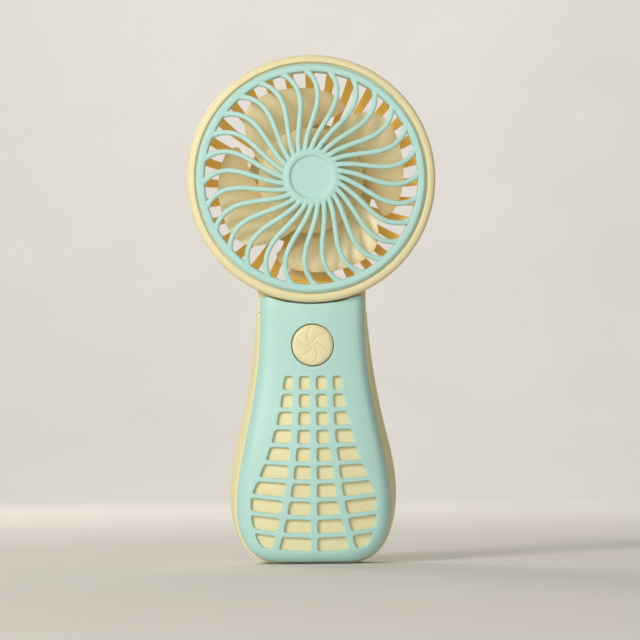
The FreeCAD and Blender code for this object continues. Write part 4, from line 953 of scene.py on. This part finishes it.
def face_grid(outline, border, places):
    """The face as a grid of (x, z), and the half widths of its lowest line.

    The middle lines follow the windows, cut across their corners by CORNER_CUT.  The top lines close in on
    the arc under the rim, height = row + (arc - row) share, and the low lines on the base in the same way.
    The left half mirrors the right.
    """
    rows, push = cover_lines()
    arc, beside, low, corner, base = places
    across = face_columns(rows, at_index(border, beside)[:, 0], outline)
    middle = np.stack([across, row_height(rows[:, None], across)], -1)
    outwards = np.zeros(across.shape[1])
    outwards[[INNER_FROM - 1, INNER_FROM, OUTER_FROM - 1, OUTER_FROM]] = 1
    outwards[[INNER_TO, INNER_TO + 1, OUTER_TO, OUTER_TO + 1]] = -1
    cut = CORNER_CUT * (push != 0)[:, None] * (outwards != 0)
    middle += np.stack([cut * outwards, cut * push[:, None]], -1)

    arc_ends = at_index(border, arc)
    top_across = across[:1] / across[0, -1] * arc_ends[:, :1]
    first = middle[:1, :, 1]
    top = np.stack([top_across, first + (rim_arc(top_across) - first) * ARC_SHARES[:, None]], -1)
    top[:, -1] = arc_ends

    foot_across = across[-1] / across[-1, -1] * at_index(border, corner)[0]
    foot = np.stack([foot_across, np.interp(foot_across, base[:, 0], base[:, 1])], -1)
    lowest = middle[-1] + (foot - middle[-1]) * LOW_SHARES[:, None, None]
    lowest[:, -1] = at_index(border, low)
    half = np.concatenate([top, middle, lowest])
    return np.concatenate([half[:, :0:-1] * [-1, 1], half], axis=1), foot_across


def open_cells(face):
    """True for the cells left out of the face: the windows, and a block round the button."""
    middle = face.shape[1] // 2
    column = np.arange(face.shape[1] - 1)
    place = np.where(column >= middle, column - middle, middle - 1 - column)
    in_windows = (place >= INNER_FROM) & (place < INNER_TO) | (place >= OUTER_FROM) & (place < OUTER_TO)
    line = np.arange(len(face) - 1)
    first = len(ARC_SHARES) + len(UPPER_ROWS)
    in_row = (line - first) % ROW_LINES < 4
    beside_windows = (line >= first) & (line < first + ROW_LINES * ROWS - 2) & in_row
    beside_button = (line >= len(ARC_SHARES)) & (line < first - 2)
    return beside_windows[:, None] & in_windows | beside_button[:, None] & (place < OUTER_TO)


def button_ring(face):
    """A ring from the round hole to the block left out for it: point = circle + (block - circle) share."""
    middle, high, low = face.shape[1] // 2, len(ARC_SHARES), len(ARC_SHARES) + len(UPPER_ROWS) - 2
    left, right = middle - OUTER_TO, middle + OUTER_TO
    loop = np.concatenate([face[high, left:right], face[high:low, right], face[low, right:left:-1],
                           face[low:high:-1, left]])
    away = loop - [0.0, BUTTON_HEIGHT]
    circle = away / np.linalg.norm(away, axis=1, keepdims=True) * BUTTON_HOLE + [0.0, BUTTON_HEIGHT]
    return circle + (loop - circle) * RING_SHARES[:, None, None]


def edge_strip(outline, normals, places, foot_across):
    """The strip along the outline, from the border round the shoulder and back to the parting.

    point = outline + normal * inward; past the edge, depth = edge + (parting - edge) share.
    """
    arc, beside, low, _, base = places
    along_base = np.interp(foot_across[::-1], base[:, 0], np.arange(len(base)))
    index = np.concatenate([arc, beside, low[:-1], along_base])
    flat = at_index(outline, index)[:, None] + at_index(normals, index)[:, None] * INWARD[:, None]
    depth = cover_depth(flat, np.broadcast_to(INWARD, flat.shape[:2]))
    edge = depth[:, -4:-3]
    depth[:, -3:] = edge + (PARTING - edge) * WALL_SHARES
    strip = np.stack([flat[..., 0], depth, flat[..., 1]], -1)
    return np.concatenate([strip[:-1], strip[::-1] * [-1, 1, 1]])


class FAN_OT_cover(bpy.types.Operator):
    """Front cover: a crowned shell with forty windows, a round hole and a rounded shoulder"""

    bl_idname = "fan.cover"
    bl_label = "Front cover"

    def execute(self, context):
        piece = place_piece("windowed_cover", self.cover_mesh(),
                            moulded_plastic("mint_cover", settings().mint, 0.44), "handle",
                            ("front_cover",))
        wall = piece.modifiers.new("wall", "SOLIDIFY")
        wall.thickness = settings().cover_wall
        wall.offset = -1.0
        wall.use_even_offset = False
        rounding = piece.modifiers.new("rounding", "SUBSURF")
        rounding.levels = rounding.render_levels = 1
        return {"FINISHED"}

    def cover_mesh(self):
        """The face's grid less its open cells, the ring round the button and the strip along the edge."""
        outline = cover_outline()
        normals = outline_normals(outline)
        border = outline + normals * BORDER
        places = border_places(border, cover_lines()[0])
        face, foot_across = face_grid(outline, border, places)
        ring = button_ring(face)
        strip = edge_strip(outline, normals, places, foot_across)
        points, faces, start = [], [], 0
        for flat, closed in ((face, False), (ring, True)):
            depth = cover_depth(flat, edge_distance(flat, outline))
            points.append(np.stack([flat[..., 0], depth, flat[..., 1]], -1).reshape(-1, 3))
            faces.append(grid_faces(*flat.shape[:2], False, closed, start))
            start += len(points[-1])
        faces[0] = faces[0][~open_cells(face).ravel()]
        points.append(strip.reshape(-1, 3))
        faces.append(grid_faces(*strip.shape[:2], False, False, start))

        mesh = bpy.data.meshes.new("windowed_cover")
        mesh.from_pydata(np.concatenate(points) * MM, [], np.concatenate(faces))
        tidy = bmesh.new()
        tidy.from_mesh(mesh)
        bmesh.ops.remove_doubles(tidy, verts=tidy.verts, dist=2e-5)
        loose = [vert for vert in tidy.verts if not vert.link_faces]
        bmesh.ops.delete(tidy, geom=loose, context="VERTS")
        bmesh.ops.recalc_face_normals(tidy, faces=tidy.faces)
        if sum(face.normal.y * face.calc_area() for face in tidy.faces) > 0:
            bmesh.ops.reverse_faces(tidy, faces=tidy.faces)
        tidy.to_mesh(mesh)
        tidy.free()
        mesh.shade_smooth()
        return mesh


# ---------------------------------------------------------------- finishes of the frame's own parts

class FAN_OT_finishes(bpy.types.Operator):
    """Finishes for the parts that keep the frame's own shape: shells, cap, motor, cell and boards"""

    bl_idname = "fan.finishes"
    bl_label = "Finishes"

    def execute(self, context):
        fan = settings()
        finishes = {
            "inner_shell": moulded_plastic("cream_liner", fan.cream, 0.5, cloud=0.10),
            "rear_shell": moulded_plastic("cream_shell", fan.cream, 0.44),
            "rear_cap": moulded_plastic("cream_cap", fan.cream, 0.4),
            "rotor_cup": drawn_metal("rotor_steel", (0.55, 0.55, 0.56), 0.28, (1, 1, 1)),
            "magnet_ring": inner_part("ferrite", (0.05, 0.05, 0.055), 0.6, 1800.0, 0.5),
            "motor_shaft": drawn_metal("shaft_steel", (0.62, 0.62, 0.63), 0.16, (1, 0.1, 1)),
            "front_bearing": inner_part("sintered_bronze_front", (0.42, 0.27, 0.12), 0.4, 3000.0, 0.4, 1.0),
            "rear_bearing": inner_part("sintered_bronze_rear", (0.42, 0.27, 0.12), 0.4, 3000.0, 0.4, 1.0),
            "stator_core": drawn_metal("lamination", (0.40, 0.41, 0.43), 0.35, (0.1, 5, 0.1)),
            "stator_windings": drawn_metal("enamelled_copper", (0.72, 0.30, 0.12), 0.3, (0.3, 2, 0.3)),
            "motor_board": inner_part("solder_resist_motor", (0.02, 0.16, 0.07), 0.4, 700.0, 0.35),
            "motor_driver_chip": inner_part("epoxy_driver", (0.03, 0.03, 0.032), 0.5, 2600.0, 0.4),
            "motor_base": inner_part("cast_alloy", (0.50, 0.50, 0.49), 0.42, 900.0, 0.25, 1.0),
            "motor_screws": drawn_metal("screw_steel_motor", (0.45, 0.45, 0.46), 0.3),
            "motor_wires": inner_part("wire_sheath_motor", (0.42, 0.02, 0.02), 0.45, 500.0, 0.2),
            "shell_screws": drawn_metal("screw_steel_shell", (0.40, 0.40, 0.41), 0.32),
            "switch_housing": inner_part("switch_nylon", (0.045, 0.045, 0.05), 0.5, 900.0, 0.3),
            "switch_plunger": inner_part("plunger_nylon", (0.62, 0.60, 0.56), 0.45, 900.0, 0.15),
            "control_board": inner_part("solder_resist_control", (0.02, 0.16, 0.07), 0.4, 700.0, 0.35),
            "board_components": inner_part("epoxy_parts", (0.03, 0.03, 0.032), 0.5, 2600.0, 0.4),
            "battery_cell": inner_part("cell_sleeve", (0.04, 0.16, 0.42), 0.35, 160.0, 0.15),
            "battery_tabs": drawn_metal("nickel_strip", (0.66, 0.62, 0.55), 0.25, (0.2, 3, 3)),
            "battery_leads": inner_part("wire_sheath_cell", (0.42, 0.02, 0.02), 0.45, 500.0, 0.2),
            "battery_pad": inner_part("foam_pad", (0.10, 0.10, 0.11), 0.9, 1500.0, 0.5),
            "charge_board": inner_part("solder_resist_charge", (0.02, 0.16, 0.07), 0.4, 700.0, 0.35),
            "charging_socket": drawn_metal("socket_steel", (0.60, 0.60, 0.61), 0.25, (3, 0.2, 3)),
            "socket_tongue": inner_part("tongue_nylon", (0.03, 0.03, 0.032), 0.45, 900.0, 0.3),
            "indicator_lamp": inner_part("lamp_resin", (0.75, 0.72, 0.62), 0.3, 900.0, 0.1),
            "light_pipe": inner_part("light_pipe_resin", (0.86, 0.86, 0.83), 0.15, 900.0, 0.08),
        }
        for node, material in finishes.items():
            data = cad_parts[node].data
            data.materials.clear()
            data.materials.append(material)
        return {"FINISHED"}


# ---------------------------------------------------------------- stage

class FAN_OT_stage(bpy.types.Operator):
    """Pale floor that curves up behind, soft lights and the camera"""

    bl_idname = "fan.stage"
    bl_label = "Stage"

    def execute(self, context):
        self.make_floor()
        middle = (0.0, 0.0, 0.1)
        key = settings().key_power
        self.make_light("key_light", (-0.90, -1.15, 0.80), middle, 0.55, key, (1.0, 0.965, 0.90))
        self.make_light("front_light", (-0.55, -1.85, 0.35), middle, 1.6, key * 1.15, (1.0, 0.97, 0.93))
        self.make_light("fill_light", (1.2, -1.0, 0.35), middle, 1.0, key * 0.04, (1.0, 0.82, 0.66))
        self.make_light("back_light", (-0.7, 1.0, 0.8), middle, 0.6, key * 0.35, (1.0, 0.95, 0.86))
        self.make_light("floor_light", (0.0, 1.2, 1.6), (0.0, 2.2, 0.6), 1.4, key * 1.2, (1.0, 1.0, 1.0))
        world = bpy.data.worlds.new("studio")
        world.use_nodes = True
        background = world.node_tree.nodes["Background"]
        background.inputs["Color"].default_value = (1.0, 0.97, 0.93, 1)
        background.inputs["Strength"].default_value = 0.22
        context.scene.world = world
        context.scene.view_settings.view_transform = "Standard"
        self.make_camera()
        return {"FINISHED"}

    def make_floor(self):
        """A sheet over (across, along): a level run, a quarter circle and an upright run."""
        turn = np.linspace(0, math.pi / 2, 32)
        bend = np.stack([1500 + 800 * np.sin(turn), 800 - 800 * np.cos(turn)], -1)
        profile = np.concatenate([[(-2500.0, 0.0)], bend, [(2300.0, 3000.0)]])
        across = np.linspace(-3000, 3000, 9)
        grid = np.stack(np.broadcast_arrays(across, profile[:, :1], profile[:, 1:]), -1)
        mesh = bpy.data.meshes.new("studio_floor")
        mesh.from_pydata(grid.reshape(-1, 3) * MM, [], grid_faces(len(profile), 9, False, False, 0))
        mesh.shade_smooth()
        floor = bpy.data.objects.new("studio_floor", mesh)
        bpy.context.scene.collection.objects.link(floor)
        material, tree, shader, place = new_material("floor_paper")
        cloud = spread(tree, noise(tree, place, 9.0, 3.0), 0.2, 0.8)
        tree.links.new(mix_colours(tree, cloud, (0.80, 0.77, 0.72), (0.84, 0.81, 0.77)),
                       shader.inputs["Base Color"])
        shader.inputs["Roughness"].default_value = 0.85
        mesh.materials.append(material)

    def make_light(self, name, place, target, size, power, colour):
        light = bpy.data.lights.new(name, "AREA")
        light.shape = "DISK"
        light.size = size
        light.energy = power
        light.color = colour
        lamp = bpy.data.objects.new(name, light)
        bpy.context.scene.collection.objects.link(lamp)
        lamp.location = place
        lamp.rotation_euler = (Vector(target) - Vector(place)).to_track_quat("-Z", "Y").to_euler()

    def make_camera(self):
        """A long lens just above the floor, so that the head is seen from slightly below."""
        distance, height = settings().camera_distance, settings().camera_height
        camera = bpy.data.cameras.new("camera")
        camera.sensor_width = 36.0
        camera.lens = 36.0 * distance / 0.2349
        item = bpy.data.objects.new("camera", camera)
        bpy.context.scene.collection.objects.link(item)
        item.location = (-0.0148, -distance, height)
        aim = (Vector((0.0030, 0.0, 0.0890)) - item.location).to_track_quat("-Z", "Y")
        item.rotation_euler = (aim @ Quaternion((0, 0, 1), math.radians(-0.49))).to_euler()
        bpy.context.scene.camera = item


# ---------------------------------------------------------------- panel and registration

class FAN_PT_looks(bpy.types.Panel):
    """The fan's settings and the operators that make its pieces"""

    bl_idname = "FAN_PT_looks"
    bl_label = "Handheld fan"
    bl_space_type = "VIEW_3D"
    bl_region_type = "UI"
    bl_category = "Fan"

    def draw(self, context):
        for name in FanSettings.__annotations__:
            self.layout.prop(settings(), name)
        for item in OPERATORS:
            self.layout.operator(item.bl_idname)


OPERATORS = (FAN_OT_grille, FAN_OT_head, FAN_OT_impeller, FAN_OT_cover, FAN_OT_button, FAN_OT_finishes,
             FAN_OT_stage)
CLASSES = (FanSettings,) + OPERATORS + (FAN_PT_looks,)


def register():
    for item in CLASSES:
        bpy.utils.register_class(item)
    bpy.types.Scene.fan_settings = bpy.props.PointerProperty(type=FanSettings)


def unregister():
    del bpy.types.Scene.fan_settings
    for item in reversed(CLASSES):
        bpy.utils.unregister_class(item)


def main():
    register()
    bpy.ops.fan.grille()
    bpy.ops.fan.head()
    bpy.ops.fan.impeller()
    bpy.ops.fan.cover()
    bpy.ops.fan.button()
    bpy.ops.fan.finishes()
    bpy.ops.fan.stage()


if __name__ == "__main__":
    main()
